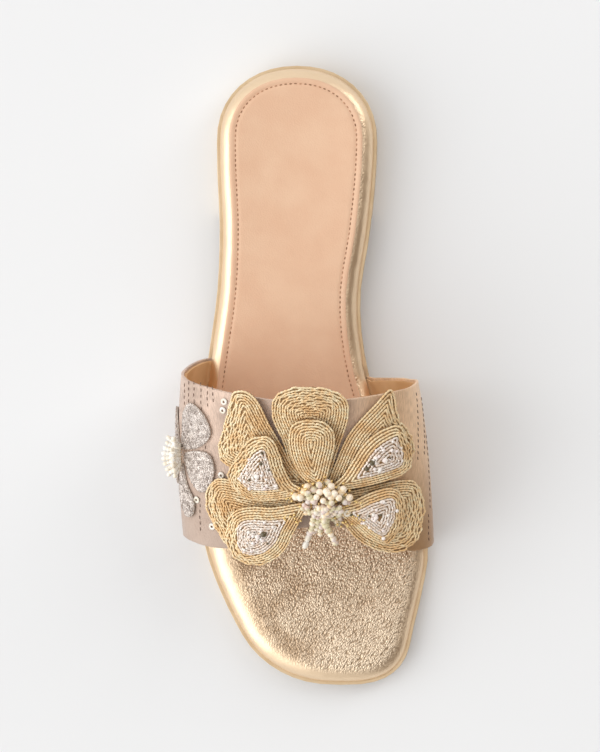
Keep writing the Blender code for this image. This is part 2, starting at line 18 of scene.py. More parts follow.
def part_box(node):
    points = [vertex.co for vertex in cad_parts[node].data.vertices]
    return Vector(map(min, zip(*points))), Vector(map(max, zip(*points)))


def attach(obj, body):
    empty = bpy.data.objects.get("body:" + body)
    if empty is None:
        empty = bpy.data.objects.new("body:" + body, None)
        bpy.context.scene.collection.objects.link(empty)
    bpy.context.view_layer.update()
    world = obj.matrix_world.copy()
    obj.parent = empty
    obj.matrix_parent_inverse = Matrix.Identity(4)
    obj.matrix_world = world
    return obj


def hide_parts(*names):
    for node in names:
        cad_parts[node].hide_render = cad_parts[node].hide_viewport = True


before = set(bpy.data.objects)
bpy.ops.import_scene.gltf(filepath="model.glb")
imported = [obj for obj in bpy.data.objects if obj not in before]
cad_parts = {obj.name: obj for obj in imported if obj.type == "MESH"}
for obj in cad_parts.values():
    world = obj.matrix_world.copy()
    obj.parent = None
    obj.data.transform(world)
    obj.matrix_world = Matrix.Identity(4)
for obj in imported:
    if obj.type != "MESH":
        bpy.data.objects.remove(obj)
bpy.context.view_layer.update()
MM = 0.001

# ---------------------------------------------------------------------------
# Camera, floor and studio light. The camera looks down from over the foot's inner side, with the heel at
# the top. A large soft window lights the outer side, and weaker ones fill the inner side and the top.
# ---------------------------------------------------------------------------

EYE = Vector((0.056, 0.007, 1.208))
AIM = Vector((0.0, 0.0, 0.020))
SHADE = (0.95, -0.20, 0.10)  # the direction that the studio is darkest in
LENS = 141.0  # millimetres
FLOOR_REACH = 4.0  # metres each way

toward = (AIM - EYE).normalized()
right = toward.cross(Vector((0, 1, 0))).normalized()
camera_data = bpy.data.cameras.new("camera")
camera_data.lens = LENS
camera = bpy.data.objects.new("camera", camera_data)
camera_turn = Matrix((right, right.cross(toward), -toward)).transposed().to_4x4()
camera.matrix_world = Matrix.Translation(EYE) @ camera_turn
bpy.context.scene.collection.objects.link(camera)
bpy.context.scene.camera = camera
bpy.context.scene.view_settings.view_transform = "Standard"


class Value:
    """An output socket of a finish. Arithmetic on it adds Math nodes."""

    def __init__(self, finish, socket):
        self.finish = finish
        self.socket = socket

    def math(self, operation, *values):
        names = ("Value", "Value_001", "Value_002")
        return self.finish.node("Math", {"operation": operation}, dict(zip(names, values)))

    def __add__(self, other):
        return self.math("ADD", self, other)

    def __rsub__(self, other):
        return self.math("SUBTRACT", other, self)

    def __mul__(self, other):
        return self.math("MULTIPLY", self, other)

    __radd__ = __add__
    __rmul__ = __mul__

    def sine(self):
        return self.math("SINE", self)

    def step(self, start, end):
        """0 at start and 1 at end, smooth between them."""
        ends = {"Value": self, "From Min": start, "From Max": end}
        return self.finish.node("MapRange", {"interpolation_type": "SMOOTHSTEP"}, ends)


class Finish:
    """A material or world made of nodes: its shader's sockets, and one method that adds any other node."""

    def __init__(self, owner, shader="Principled BSDF"):
        owner.use_nodes = True
        self.owner = owner
        self.tree = owner.node_tree
        self.shader = self.tree.nodes[shader]

    def set(self, **sockets):
        """Sets or links the shader's sockets: an underscore stands for a space."""
        self.connect(self.shader, {name.replace("_", " "): value for name, value in sockets.items()})
        return self.owner

    def connect(self, node, values):
        for name, value in values.items():
            socket = next(s for s in node.inputs if name in (s.identifier, s.name))
            if isinstance(value, Value):
                self.tree.links.new(value.socket, socket)
            else:
                socket.default_value = value

    def node(self, kind, settings=None, values=None, output=None):
        """Adds a node of that kind, with its settings and the values or links of its sockets."""
        node = self.tree.nodes.new("ShaderNode" + kind)
        for name, value in (settings or {}).items():
            setattr(node, name, value)
        self.connect(node, values or {})
        shown = [s for s in node.outputs if s.enabled]
        return Value(self, next((s for s in shown if s.name == output), shown[0]))

    def mix(self, share, first, second):
        """A colour between two colours."""
        colours = {"Factor_Float": share, "A_Color": first, "B_Color": second}
        return self.node("Mix", {"data_type": "RGBA"}, colours)

    def place(self):
        """The piece's own coordinates, in millimetres."""
        coordinates = self.node("TexCoord", output="Object")
        return self.node("Mapping", values={"Vector": coordinates, "Scale": (1 / MM, 1 / MM, 1 / MM)})

    def noise(self, place, scale, detail, roughness=0.5):
        values = {"Vector": place, "Scale": scale, "Detail": detail, "Roughness": roughness}
        return self.node("TexNoise", values=values)

    def bump(self, height, distance, normal=None):
        """A normal from a height, in millimetres of relief."""
        values = {"Height": height, "Distance": distance * MM, "Strength": 1.0}
        if normal:
            values["Normal"] = normal
        return self.node("Bump", values=values)


def new_finish(name):
    return Finish(bpy.data.materials.new(name))


def add_window(name, place, size, watts, colour):
    """A soft rectangular light that faces the sandal."""
    data = bpy.data.lights.new(name, "AREA")
    data.shape = "RECTANGLE"
    data.size, data.size_y = size
    data.energy = watts
    data.color = colour
    lamp = bpy.data.objects.new(name, data)
    turn = (AIM - Vector(place)).to_track_quat("-Z", "Y").to_matrix().to_4x4()
    lamp.matrix_world = Matrix.Translation(place) @ turn
    bpy.context.scene.collection.objects.link(lamp)


add_window("key", (-1.7, -0.40, 1.05), (2.4, 2.0), 25.0, (1.0, 0.99, 0.98))
add_window("fill", (1.2, 0.9, 0.85), (0.8, 1.4), 9.0, (1.0, 0.99, 0.98))
add_window("top", (0.45, -0.25, 1.5), (0.5, 0.9), 0.9, (1.0, 0.99, 0.98))

world = bpy.data.worlds.new("studio")
bpy.context.scene.world = world
studio = Finish(world, "Background")
skyward = studio.node("TexCoord", output="Generated")
shade_side = studio.node(
    "VectorMath", {"operation": "DOT_PRODUCT"}, {"Vector": skyward, "Vector_001": SHADE}, "Value"
)
studio.set(
    Color=studio.mix(shade_side.step(-0.1, 0.88), (1.0, 0.995, 0.99, 1), (0.15, 0.10, 0.06, 1)),
    Strength=0.93,
)

floor_mesh = bmesh.new()
bmesh.ops.create_grid(floor_mesh, x_segments=1, y_segments=1, size=FLOOR_REACH)
floor_data = bpy.data.meshes.new("floor")
floor_mesh.to_mesh(floor_data)
floor_mesh.free()
floor = bpy.data.objects.new("floor", floor_data)
bpy.context.scene.collection.objects.link(floor)
paper = new_finish("floor_paper")
floor_data.materials.append(paper.set(Base_Color=(0.825, 0.84, 0.855, 1), Roughness=0.9))

# ---------------------------------------------------------------------------
# Outsole: a moulded sole and low heel in one piece, tan-gold at its edge, cemented under the footbed. Its
# ground faces have shallow grooves.
# ---------------------------------------------------------------------------

SOLE_EDGE_ROUND = 0.3
SOLE_SHARP = 40  # degrees between faces from which an edge is rounded


def copy_node(name):
    """A copy of a CAD node's mesh with its triangles merged."""
    bm = bmesh.new()
    bm.from_mesh(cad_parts[name].data)
    bmesh.ops.remove_doubles(bm, verts=bm.verts, dist=0.00001)
    return bm


def add_piece(name, made, finish, replaced=()):
    """Makes a mesh or bmesh a piece that rides on the shoe, with its finish, and hides the CAD parts that it
    replaces.
    """
    mesh = made
    if isinstance(made, bmesh.types.BMesh):
        mesh = bpy.data.meshes.new(name)
        made.to_mesh(mesh)
        made.free()
    mesh.name = name
    mesh.shade_smooth()
    mesh.materials.clear()
    mesh.materials.append(finish)
    piece = bpy.data.objects.new(name, mesh)
    bpy.context.scene.collection.objects.link(piece)
    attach(piece, "root")
    if replaced:
        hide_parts(*replaced)
    return piece


def sharpen(piece, degrees):
    """Shades a piece flat across the edges that are sharper than that."""
    piece.data.set_sharp_from_angle(angle=math.radians(degrees))


gold_sole = new_finish("gold_sole_edge")
sole_place = gold_sole.place()
scuff = gold_sole.noise(sole_place, 0.12, 3.0)
sole_grain = gold_sole.noise(sole_place, 1.6, 2.0)
gold_sole.set(
    Base_Color=gold_sole.mix(scuff.step(0.3, 0.7), (0.68, 0.50, 0.30, 1), (0.77, 0.59, 0.38, 1)),
    Metallic=0.7,
    Roughness=0.34 + 0.08 * sole_grain,
    Normal=gold_sole.bump(sole_grain, 0.02),
)

outsole = copy_node("outsole")
bmesh.ops.dissolve_limit(outsole, angle_limit=math.radians(1), verts=outsole.verts, edges=outsole.edges)
outsole = add_piece("outsole_edge", outsole, gold_sole.owner, ["outsole"])
rounded = outsole.modifiers.new("rounded", "BEVEL")
rounded.width = SOLE_EDGE_ROUND * MM
rounded.segments = 2
rounded.limit_method = "ANGLE"
rounded.angle_limit = math.radians(SOLE_SHARP)
sharpen(outsole, SOLE_SHARP)

# ---------------------------------------------------------------------------
# Footbed: a foam pad wrapped in pebbled gold leather, which is pulled tight and smooth over its rolled
# edge. It is cemented to the outsole, over the strap's margins.
# ---------------------------------------------------------------------------

PEBBLE = 0.78
PEBBLE_RELIEF, FOLD_RELIEF, WAVE_RELIEF = 0.42, 0.52, 1.5
SMOOTH_TO, PEBBLED_FROM = 3.6, 8.4  # how far in from the edge the leather is smooth, and all pebbled
INNER_LESS = 0.06  # the smooth band is narrower at the foot's inner side, by this much for each mm across
CROWN_REACH, CROWN_DROP = 14.0, 1.1  # the pad falls away towards its edge
QUAD_FLATNESS, QUAD_SHAPE = 40, 60  # degrees within which two triangles make a quad


def rim_loop(bm, faces):
    """The points round a patch of faces, in order, as an array."""
    patch = set(faces)
    rim = [edge for edge in bm.edges if sum(face in patch for face in edge.link_faces) == 1]
    here, seen = rim[0].verts[0], []
    while here not in seen:
        seen.append(here)
        ends = [edge.other_vert(here) for edge in here.link_edges if edge in rim]
        here = next((vert for vert in ends if vert not in seen), seen[0])
    return np.array([vert.co for vert in seen]) / MM


def edge_distance(points, outline):
    """How far each flat point lies from a closed outline."""
    start = outline[None, :, :]
    along = np.roll(outline, -1, axis=0)[None, :, :] - start
    offset = points[:, None, :] - start
    share = np.clip((offset * along).sum(-1) / np.maximum((along**2).sum(-1), 1e-9), 0, 1)
    return np.linalg.norm(offset - share[..., None] * along, axis=-1).min(axis=1)


gold_leather = new_finish("gold_leather")
leather_place = gold_leather.place()
drift = gold_leather.node(
    "TexNoise", values={"Vector": leather_place, "Scale": 0.6, "Detail": 1.0}, output="Color"
)
warped = gold_leather.node(
    "VectorMath", {"operation": "MULTIPLY_ADD"},
    {"Vector": drift, "Vector_001": (0.55, 0.55, 0.55), "Vector_002": leather_place},
)
turned = gold_leather.node("Mapping", values={"Vector": warped, "Rotation": (0, 0, 0.5)})
drawn = gold_leather.node("Mapping", values={"Vector": turned, "Scale": (1.25, 0.8, 1)})
grain = gold_leather.node(
    "TexVoronoi", {"feature": "SMOOTH_F1"}, {"Vector": drawn, "Scale": 1 / PEBBLE, "Smoothness": 0.25}
)
inward = gold_leather.node("SeparateXYZ", values={"Vector": leather_place}, output="X")
from_rim = gold_leather.node("Attribute", {"attribute_name": "from_edge"}, output="Fac")
pebbled = (from_rim + inward * INNER_LESS).step(SMOOTH_TO, PEBBLED_FROM)
# The pebbles' creases are painted darker in the colour below: painted shade.
crease_painted_shade = grain.step(0.42, 0.85)
folds = gold_leather.noise(drawn, 0.30, 2.0, 0.6)
waves = gold_leather.noise(leather_place, 0.05, 2.0)
# The top's colour drifts at random, and is also painted lighter towards the foot's inner side: a painted
# reflection.
tone_and_painted_reflection = (waves + inward * 0.0045 + folds * 0.3).step(0.40, 0.84)
top_gold = gold_leather.mix(tone_and_painted_reflection, (0.52, 0.375, 0.245, 1), (0.86, 0.71, 0.535, 1))
leather_gold = gold_leather.mix(pebbled, (0.89, 0.69, 0.475, 1), top_gold)
gold_leather.set(
    Base_Color=gold_leather.mix(crease_painted_shade * pebbled * 0.8, leather_gold, (0.36, 0.24, 0.14, 1)),
    Metallic=0.92,
    Roughness=0.40 + 0.06 * pebbled,
    Normal=gold_leather.bump(
        (0 - grain) * (0.07 + 0.93 * pebbled), PEBBLE_RELIEF,
        normal=gold_leather.bump(
            folds * (0.12 + 0.88 * pebbled), FOLD_RELIEF, normal=gold_leather.bump(waves, WAVE_RELIEF)
        ),
    ),
)

footbed = copy_node("footbed")
bmesh.ops.join_triangles(
    footbed, faces=footbed.faces,
    angle_face_threshold=math.radians(QUAD_FLATNESS), angle_shape_threshold=math.radians(QUAD_SHAPE),
)
footbed.normal_update()
bed_rim = rim_loop(footbed, [face for face in footbed.faces if face.normal.z > 0.05])[:, :2]
depths = edge_distance(np.array([vert.co[:2] for vert in footbed.verts]) / MM, bed_rim)
from_edge = footbed.verts.layers.float.new("from_edge")
for vert, depth in zip(footbed.verts, depths):
    upper = vert.normal.z > 0.02
    vert[from_edge] = depth if upper else 0.0
    if upper and depth < CROWN_REACH:
        vert.co.z -= CROWN_DROP * (1 - depth / CROWN_REACH) ** 2 * MM
footbed = add_piece("footbed_pad", footbed, gold_leather.owner, ["footbed"])
smoothed = footbed.modifiers.new("smoothed", "SUBSURF")
smoothed.levels = smoothed.render_levels = 2

# ---------------------------------------------------------------------------
# Sock lining: a thin sheet of nude leather glued on the footbed. A lockstitch runs round it just inside its
# cut edge, and pulls the leather down into a shallow trough.
# ---------------------------------------------------------------------------

SOCK_ROWS, SOCK_COLUMNS = 220, 84
SOCK_PASSES = 30  # of smoothing, by height alone
RAY_HEIGHT = 0.2  # metres over the floor, over all of the shoe
SKIRT = 1.2  # how far the sheet's cut edge reaches down
SEAM_DEPTH, SEAM_REACH = 0.3, 0.7
EDGE_DROP, EDGE_REACH = 0.25, 0.35  # the cut edge is worn round
STITCH_INSET, STITCH_PITCH = 2.4, 2.0
STITCH_LENGTH, STITCH_RADIUS = 1.2, 0.27
STITCH_SIDES = 6

nude_leather = new_finish("nude_leather")
nude_place = nude_leather.place()
pores = nude_leather.node("TexVoronoi", {"feature": "F1"}, {"Vector": nude_place, "Scale": 1.6})
mottle = nude_leather.noise(nude_place, 0.05, 4.0, 0.6)
fine = nude_leather.noise(nude_place, 3.0, 3.0)
nude_leather.set(
    Base_Color=nude_leather.mix(mottle.step(0.3, 0.75), (0.755, 0.475, 0.31, 1), (0.80, 0.535, 0.36, 1)),
    Roughness=0.42 + 0.16 * fine,
    Sheen_Weight=0.15,
    Sheen_Roughness=0.5,
    Normal=nude_leather.bump(pores + 0.5 * fine, 0.05),
)


def node_tree(name):
    """A CAD node's surface, for rays."""
    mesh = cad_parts[name].data
    faces = [face.vertices for face in mesh.polygons]
    return BVHTree.FromPolygons([vert.co for vert in mesh.vertices], faces)


def below(tree, x, y):
    """Where a surface lies at a place in mm, in metres, or None off its edges."""
    return tree.ray_cast(Vector((x * MM, y * MM, RAY_HEIGHT)), Vector((0, 0, -1)))[0]


def width_at(outline, y):
    """The lowest and highest x of a closed outline at that y."""
    start, end = outline, np.roll(outline, -1, axis=0)
    cut = (start[:, 1] <= y) != (end[:, 1] <= y)
    share = (y - start[cut, 1]) / (end[cut, 1] - start[cut, 1])
    x = start[cut, 0] + share * (end[cut, 0] - start[cut, 0])
    return x.min(), x.max()


flat_sock = copy_node("sock_lining")
flat_sock.normal_update()
sock_rim = rim_loop(flat_sock, [face for face in flat_sock.faces if face.normal.z > 0.7])[:, :2]
flat_sock.free()
sock_tree = node_tree("sock_lining")
sock_front, sock_back = sock_rim[:, 1].min(), sock_rim[:, 1].max()

# Rows and columns crowd towards the sheet's edge, and each takes its height from a ray just inside it.
sock = bmesh.new()
bmesh.ops.create_grid(sock, x_segments=SOCK_COLUMNS, y_segments=SOCK_ROWS, size=0.5)
for vert in sock.verts:
    y = sock_front + 0.01 + (sock_back - sock_front - 0.02) * math.sin((vert.co.y + 0.5) * math.pi / 2)
    low, high = width_at(sock_rim, y)
    across = low + (high - low) * (1 - math.cos((vert.co.x + 0.5) * math.pi)) / 2
    middle = (low + high) / 2
    spot = below(sock_tree, (across - middle) * 0.98 + middle, y * 0.999)
    vert.co = (across * MM, y * MM, spot.z if spot else 0.02)
for _ in range(SOCK_PASSES):
    bmesh.ops.smooth_vert(sock, verts=sock.verts, factor=0.5, use_axis_z=True)
depths = edge_distance(np.array([vert.co[:2] for vert in sock.verts]) / MM, sock_rim)
for vert, depth in zip(sock.verts, depths):
    seam = math.exp(-((depth - STITCH_INSET) / SEAM_REACH) ** 2)
    worn = math.exp(-((depth / EDGE_REACH) ** 2))
    vert.co.z -= (SEAM_DEPTH * seam + EDGE_DROP * worn) * MM
skirt = bmesh.ops.extrude_edge_only(sock, edges=[edge for edge in sock.edges if edge.is_boundary])["geom"]
skirt_verts = [item for item in skirt if isinstance(item, bmesh.types.BMVert)]
bmesh.ops.translate(sock, verts=skirt_verts, vec=(0, 0, -SKIRT * MM))
bmesh.ops.recalc_face_normals(sock, faces=sock.faces)
sock = add_piece("sock_lining_sheet", sock, nude_leather.owner, ["sock_lining"])
sharpen(sock, 60)


def two_tone(name, scale, detail, ends, first, second, roughness, uneven=0.0, relief=0.0, **sockets):
    """A material that one noise takes from the first colour to the second, and roughens unevenly."""
    finish = new_finish(name)
    tone = finish.noise(finish.place(), scale, detail)
    share = tone.step(*ends) if ends else tone
    if relief:
        sockets["Normal"] = finish.bump(tone, relief)
    if uneven:
        roughness = roughness + uneven * tone
    return finish.set(Base_Color=finish.mix(share, (*first, 1), (*second, 1)), Roughness=roughness, **sockets)


def facing(place, out):
    """A matrix at a place in metres, with its own Z along `out`."""
    return Matrix.Translation(place) @ Vector(out).to_track_quat("Z", "Y").to_matrix().to_4x4()


def walk(points, pitch):
    """Points at an even pitch round a closed line through the given ones, with the direction of each."""
    line = np.vstack((points, points[:1]))
    lengths = np.concatenate(([0], np.cumsum(np.linalg.norm(np.diff(line, axis=0), axis=1))))
    count = max(3, round(lengths[-1] / pitch))
    places = np.linspace(0, lengths[-1], count, endpoint=False)
    spots = np.column_stack([np.interp(places, lengths, column) for column in line.T])
    nearby = (places + 0.1) % lengths[-1]
    ahead = np.column_stack([np.interp(nearby, lengths, column) for column in line.T])
    return spots, ahead - spots


def add_stitch(bm, centre, along, length, radius):
    """One short stitch of thread, pointed at both ends."""
    shape = facing(centre, along) @ Matrix.Diagonal((radius * MM, radius * MM, length / 2 * MM, 1))
    sides = {"u_segments": STITCH_SIDES, "v_segments": STITCH_SIDES}
    bmesh.ops.create_uvsphere(bm, radius=1.0, matrix=shape, **sides)


def offset_line(outline, depth):
    """A closed outline moved inwards, by its corners' normals."""
    ahead, behind = np.roll(outline, -1, axis=0), np.roll(outline, 1, axis=0)
    along = ahead - behind
    along /= np.linalg.norm(along, axis=1)[:, None]
    normal = np.column_stack((-along[:, 1], along[:, 0]))
    sweep = (outline[:, 0] * ahead[:, 1] - ahead[:, 0] * outline[:, 1]).sum()
    return outline + normal * depth * math.copysign(1, sweep)


seam_thread = two_tone("tan_stitch", 0.35, 2.0, (0.35, 0.65), (0.24, 0.11, 0.05), (0.56, 0.30, 0.18), 0.7)
sheet_tree = BVHTree.FromObject(sock, bpy.context.evaluated_depsgraph_get())
stitches = bmesh.new()
spots, along = walk(offset_line(sock_rim, STITCH_INSET), STITCH_PITCH)
for (x, y), (step_x, step_y) in zip(spots, along):
    spot = below(sheet_tree, x, y)
    if y > sock_front + STITCH_INSET + 1 and spot:
        add_stitch(stitches, spot, (step_x, step_y, 0), STITCH_LENGTH, STITCH_RADIUS)
add_piece("sock_lining_stitches", stitches, seam_thread)

# ---------------------------------------------------------------------------
# Strap: rose tissue fabric folded over both edges, bonded to a tan leather lining, and lasted in between
# the footbed and the outsole on both sides.
# ---------------------------------------------------------------------------

AXIS_X, AXIS_Z = 4.0, 22.0  # the line along the shoe that the strap is measured from
MIDDLE = 30.0  # from the strap's middle to the origin
MEAN_REACH = 52.0  # from the axis to the strap, as the fabric's flat coordinates take it
TURN_STEP = 1.5  # degrees
LEAST_REACH, LEAST_POINTS = 25.0, 60  # what a turn needs to count as strap
EDGE_LEFT_OUT = 1.5  # of the cubic at each edge, where the strap rounds off
FABRIC_WALL, LINING_WALL, LINING_SHOW = 1.2, 1.1, 0.9
ROUND_IT, ALONG_IT = 190, 44
OUTSIDE = 100.0  # rays start this far from the axis
FOLD_SHARE, FOLD_SHARP = 0.45, 55  # its edges' rounding in the wall's thickness, and from how many degrees

strap_tree = node_tree("strap")
strap_low, strap_high = (np.array(corner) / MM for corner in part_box("strap"))


def strap_reach(turn, y):
    """Distance in mm from the strap's axis out to its outside, or None off its edges."""
    out = Vector((math.cos(turn), 0, math.sin(turn)))
    far = OUTSIDE * MM
    hit = strap_tree.ray_cast(Vector((AXIS_X, y, AXIS_Z)) * MM + out * far, -out, far)
    return OUTSIDE - hit[3] / MM if hit[0] else None


def blur(values, times=2):
    """Evens out a row of values that run round the strap."""
    for _ in range(times):
        ends = np.concatenate((values[:1], values, values[-1:]))
        values = ends[:-2] * 0.25 + ends[1:-1] * 0.5 + ends[2:] * 0.25
    return values


# At each turn round the strap: where its two edges are, and a cubic through its reach between them.
turns, fits, heel_edges, toe_edges = [], [], [], []
for degrees in np.arange(-40, 220.1, TURN_STEP):
    turn = math.radians(degrees)
    places = np.arange(strap_low[1] + 0.25, strap_high[1], 0.5)
    reaches = [strap_reach(turn, y) for y in places]
    there = [(y, reach) for y, reach in zip(places, reaches) if reach is not None and reach > LEAST_REACH]
    if len(there) < LEAST_POINTS:
        continue
    y, reach = np.array(there).T
    inner = (y > y[0] + EDGE_LEFT_OUT) & (y < y[-1] - EDGE_LEFT_OUT)
    turns.append(turn)
    fits.append(np.polyfit(y[inner] + MIDDLE, reach[inner], 3))
    heel_edges.append(y[-1])
    toe_edges.append(y[0])
turns, fits = np.array(turns), np.array([blur(column) for column in np.array(fits).T])
heel_edges, toe_edges = blur(np.array(heel_edges), 4), blur(np.array(toe_edges), 4)


def strap_section(turn, y):
    """Points (x, z) of the strap's outside, by the turn round its axis."""
    powers = [np.interp(turn, turns, column) for column in fits]
    reach = sum(column * (y + MIDDLE) ** (3 - k) for k, column in enumerate(powers))
    return AXIS_X + reach * np.cos(turn), AXIS_Z + reach * np.sin(turn)


# The strap's outside again, by the distance round it from its crown.
ROW_STEP = 2.0
ARCS = np.arange(-92.0, 92.1, 1.0)
ROWS = np.arange(strap_low[1] - 22, strap_high[1] + 16, ROW_STEP)
fine_turns = np.linspace(turns[-1], turns[0], 600)
sections = [strap_section(fine_turns, y) for y in ROWS]
crowns = np.polyval(np.polyfit(ROWS, [x[z.argmax()] for x, z in sections], 2), ROWS)
STRAP_X, STRAP_Z = np.empty((len(ROWS), len(ARCS))), np.empty((len(ROWS), len(ARCS)))
for row, ((x, z), crown) in enumerate(zip(sections, crowns)):
    arc = np.concatenate(([0], np.cumsum(np.hypot(np.diff(x), np.diff(z)))))
    upper = z > AXIS_Z
    arc -= np.interp(crown, x[upper], arc[upper])
    STRAP_X[row], STRAP_Z[row] = np.interp(ARCS, arc, x), np.interp(ARCS, arc, z)


def on_strap(arc, y):
    """Points in mm on the strap's outside, by the distance round it from its crown, also past its edges."""
    arc, y = np.broadcast_arrays(np.asarray(arc, float), np.asarray(y, float))
    column = np.clip(arc - ARCS[0], 0, len(ARCS) - 1.001)
    row = np.clip((y - ROWS[0]) / ROW_STEP, 0, len(ROWS) - 1.001)
    i, j = column.astype(int), row.astype(int)
    u, v = column - i, row - j

    def between(table):
        near = table[j, i] * (1 - u) + table[j, i + 1] * u
        far = table[j + 1, i] * (1 - u) + table[j + 1, i + 1] * u
        return near * (1 - v) + far * v

    return np.stack((between(STRAP_X), y, between(STRAP_Z)), axis=-1)


def strap_frame(arc, y):
    """Unit vectors round the strap, along it and out of it."""
    round_it = on_strap(arc + 1.5, y) - on_strap(arc - 1.5, y)
    along_it = on_strap(arc, y + 2.5) - on_strap(arc, y - 2.5)
    out = np.cross(round_it, along_it)
    return [vector / np.linalg.norm(vector, axis=-1, keepdims=True) for vector in (round_it, along_it, out)]


def over_strap(arc, y, lift):
    """Points in mm that stand `lift` over the strap."""
    arc, y = np.asarray(arc, float), np.asarray(y, float)
    return on_strap(arc, y) + strap_frame(arc, y)[2] * np.asarray(lift, float)[..., None]


def strap_sheet(inset, depth):
    """A sheet that follows the strap, `depth` inside its outside and `inset` from its edges."""
    bm = bmesh.new()
    bmesh.ops.create_grid(bm, x_segments=ROUND_IT, y_segments=ALONG_IT, size=0.5)
    spread = bm.loops.layers.uv.new("spread")
    flat = {}
    for vert in bm.verts:
        turn = turns[-1] + (turns[0] - turns[-1]) * (vert.co.x + 0.5)
        toe, heel = np.interp(turn, turns, toe_edges) + inset, np.interp(turn, turns, heel_edges) - inset
        y = toe + (heel - toe) * (vert.co.y + 0.5)
        x, z = strap_section(turn, y)
        flat[vert] = (turn, y)
        vert.co = Vector((x, y, z)) * MM
    bm.normal_update()
    for vert, normal in [(vert, vert.normal.copy()) for vert in bm.verts]:
        vert.co -= normal * depth * MM
    for face in bm.faces:
        for loop in face.loops:
            turn, y = flat[loop.vert]
            loop[spread].uv = (-turn * MEAN_REACH, y)
    return bm


def band_piece(name, wall, inset, depth, finish, replaced=()):
    """The band as a piece, with a wall and rounded edges."""
    piece = add_piece(name, strap_sheet(inset, depth), finish, replaced)
    solid = piece.modifiers.new("wall", "SOLIDIFY")
    solid.thickness = wall * MM
    solid.offset = -1.0
    fold = piece.modifiers.new("fold", "BEVEL")
    fold.width = wall * FOLD_SHARE * MM
    fold.segments = 3
    fold.limit_method = "ANGLE"
    fold.angle_limit = math.radians(FOLD_SHARP)
    return piece


rose_fabric = new_finish("rose_tissue")
spread = rose_fabric.node("UVMap", {"uv_map": "spread"})
round_place = rose_fabric.node("SeparateXYZ", values={"Vector": spread}, output="X")
along_place = rose_fabric.node("SeparateXYZ", values={"Vector": spread}, output="Y")
weave = (round_place * 9.0).sine() * (along_place * 9.0).sine()
drawn_thread = rose_fabric.node("Mapping", values={"Vector": spread, "Scale": (2.3, 0.34, 1)})
slub = rose_fabric.noise(drawn_thread, 1.0, 3.0)
cloud = rose_fabric.noise(rose_fabric.place(), 0.08, 3.0)
thread_tone = (slub * 0.5 + cloud * 0.5).step(0.30, 0.66)
# The tissue is the same all over. Its inner side is painted in golden-browns, lighter and darker, for how its
# sheen reflects light there and falls into shade: painted reflection and painted shade.
inner_painted_sheen = round_place.step(-76.0, -40.0)
# Both sides are also painted darker towards the toe: painted shade.
shade_fades_heelward = along_place.step(-66.0, -20.0)
outer_light = rose_fabric.mix(shade_fades_heelward, (0.50, 0.385, 0.315, 1), (0.74, 0.555, 0.445, 1))
inner_light = rose_fabric.mix(shade_fades_heelward, (0.42, 0.24, 0.11, 1), (0.93, 0.655, 0.42, 1))
inner_dark = rose_fabric.mix(shade_fades_heelward, (0.36, 0.21, 0.10, 1), (0.62, 0.41, 0.25, 1))
rose_fabric.set(
    Base_Color=rose_fabric.mix(
        inner_painted_sheen,
        rose_fabric.mix(thread_tone, (0.42, 0.31, 0.245, 1), outer_light),
        rose_fabric.mix(thread_tone, inner_dark, inner_light),
    ),
    Metallic=0.25,
    Roughness=0.42 + 0.12 * slub,
    Sheen_Weight=0.35,
    Sheen_Roughness=0.35,
    Sheen_Tint=(1.0, 0.92, 0.90, 1),
    Normal=rose_fabric.bump(weave * 0.4 + slub, 0.08),
)
band_piece("strap_fabric", FABRIC_WALL, 0.0, 0.0, rose_fabric.owner, ["strap"])

tan_lining = new_finish("tan_lining_leather")
lining_place = tan_lining.place()
lining_pores = tan_lining.noise(lining_place, 2.4, 3.0)
lining_cloud = tan_lining.noise(lining_place, 0.06, 3.0)
tan_lining.set(
    Base_Color=tan_lining.mix(lining_cloud.step(0.3, 0.7), (0.60, 0.34, 0.15, 1), (0.72, 0.45, 0.23, 1)),
    Roughness=0.5 + 0.15 * lining_pores,
    Normal=tan_lining.bump(lining_pores, 0.06),
)
band_piece("strap_lining", LINING_WALL, LINING_SHOW, FABRIC_WALL, tan_lining.owner)

# ---------------------------------------------------------------------------
# Big flower: five back petals and five front petals, each a felt pad covered with rows of twisted gold cord
# that are couched down from its edge to its middle. Four front petals change to silver cord inside.
# ---------------------------------------------------------------------------

# A flower: its centre by the distance round the strap and along the shoe, and how far its petals curl up
# from the strap at a reach of `curl_reach`.
Flower = namedtuple("Flower", "arc y curl curl_reach")
BIG_FLOWER = Flower(1.0, -48.0, 2.4, 50.0)

# A petal's outline runs round it from its root, in mm from the flower's centre: to the inner side, and to
# the heel. `silver` is the share of the way in at which its cord changes from gold to silver, 1 for never.
Petal = namedtuple("Petal", "name silver outline")
BACK_PETALS = [
    Petal("back", 1, [
        (0, 6), (-9.3, 12), (-12.2, 23), (-15, 34), (-12.5, 42), (-4, 45.3), (8, 44.5), (14, 40),
        (14, 32.5), (9, 20.5), (4, 9),
    ]),
    Petal("inner_back", 1, [
        (3, 5), (7.5, 16), (14, 27.5), (24.5, 38.5), (30, 43.8), (32, 42), (33.4, 33), (38.3, 23.5),
        (37, 17), (26, 10), (10, 5),
    ]),
    Petal("inner_front", 1, [
        (3, 1), (18, 5.3), (31, 8), (38.5, 6.5), (40.6, -1), (39, -9.5), (34.5, -18), (24.5, -21),
        (13.6, -16.5), (6, -6.5),
    ]),
    Petal("outer_front", 1, [
        (-3, 2), (-24, 6), (-38, 9), (-43, 6.8), (-45.7, 1.5), (-45.3, -4.5), (-43, -11.5), (-38, -18),
        (-26, -19), (-12, -10),
    ]),
    Petal("outer_back", 1, [
        (-3, 5), (-9.4, 14), (-12.8, 22.5), (-16.4, 31), (-19.4, 39.5), (-23, 43.4), (-28.3, 43.2),
        (-31.4, 38), (-36, 26), (-38.3, 20), (-35.5, 14), (-20, 8),
    ]),
]
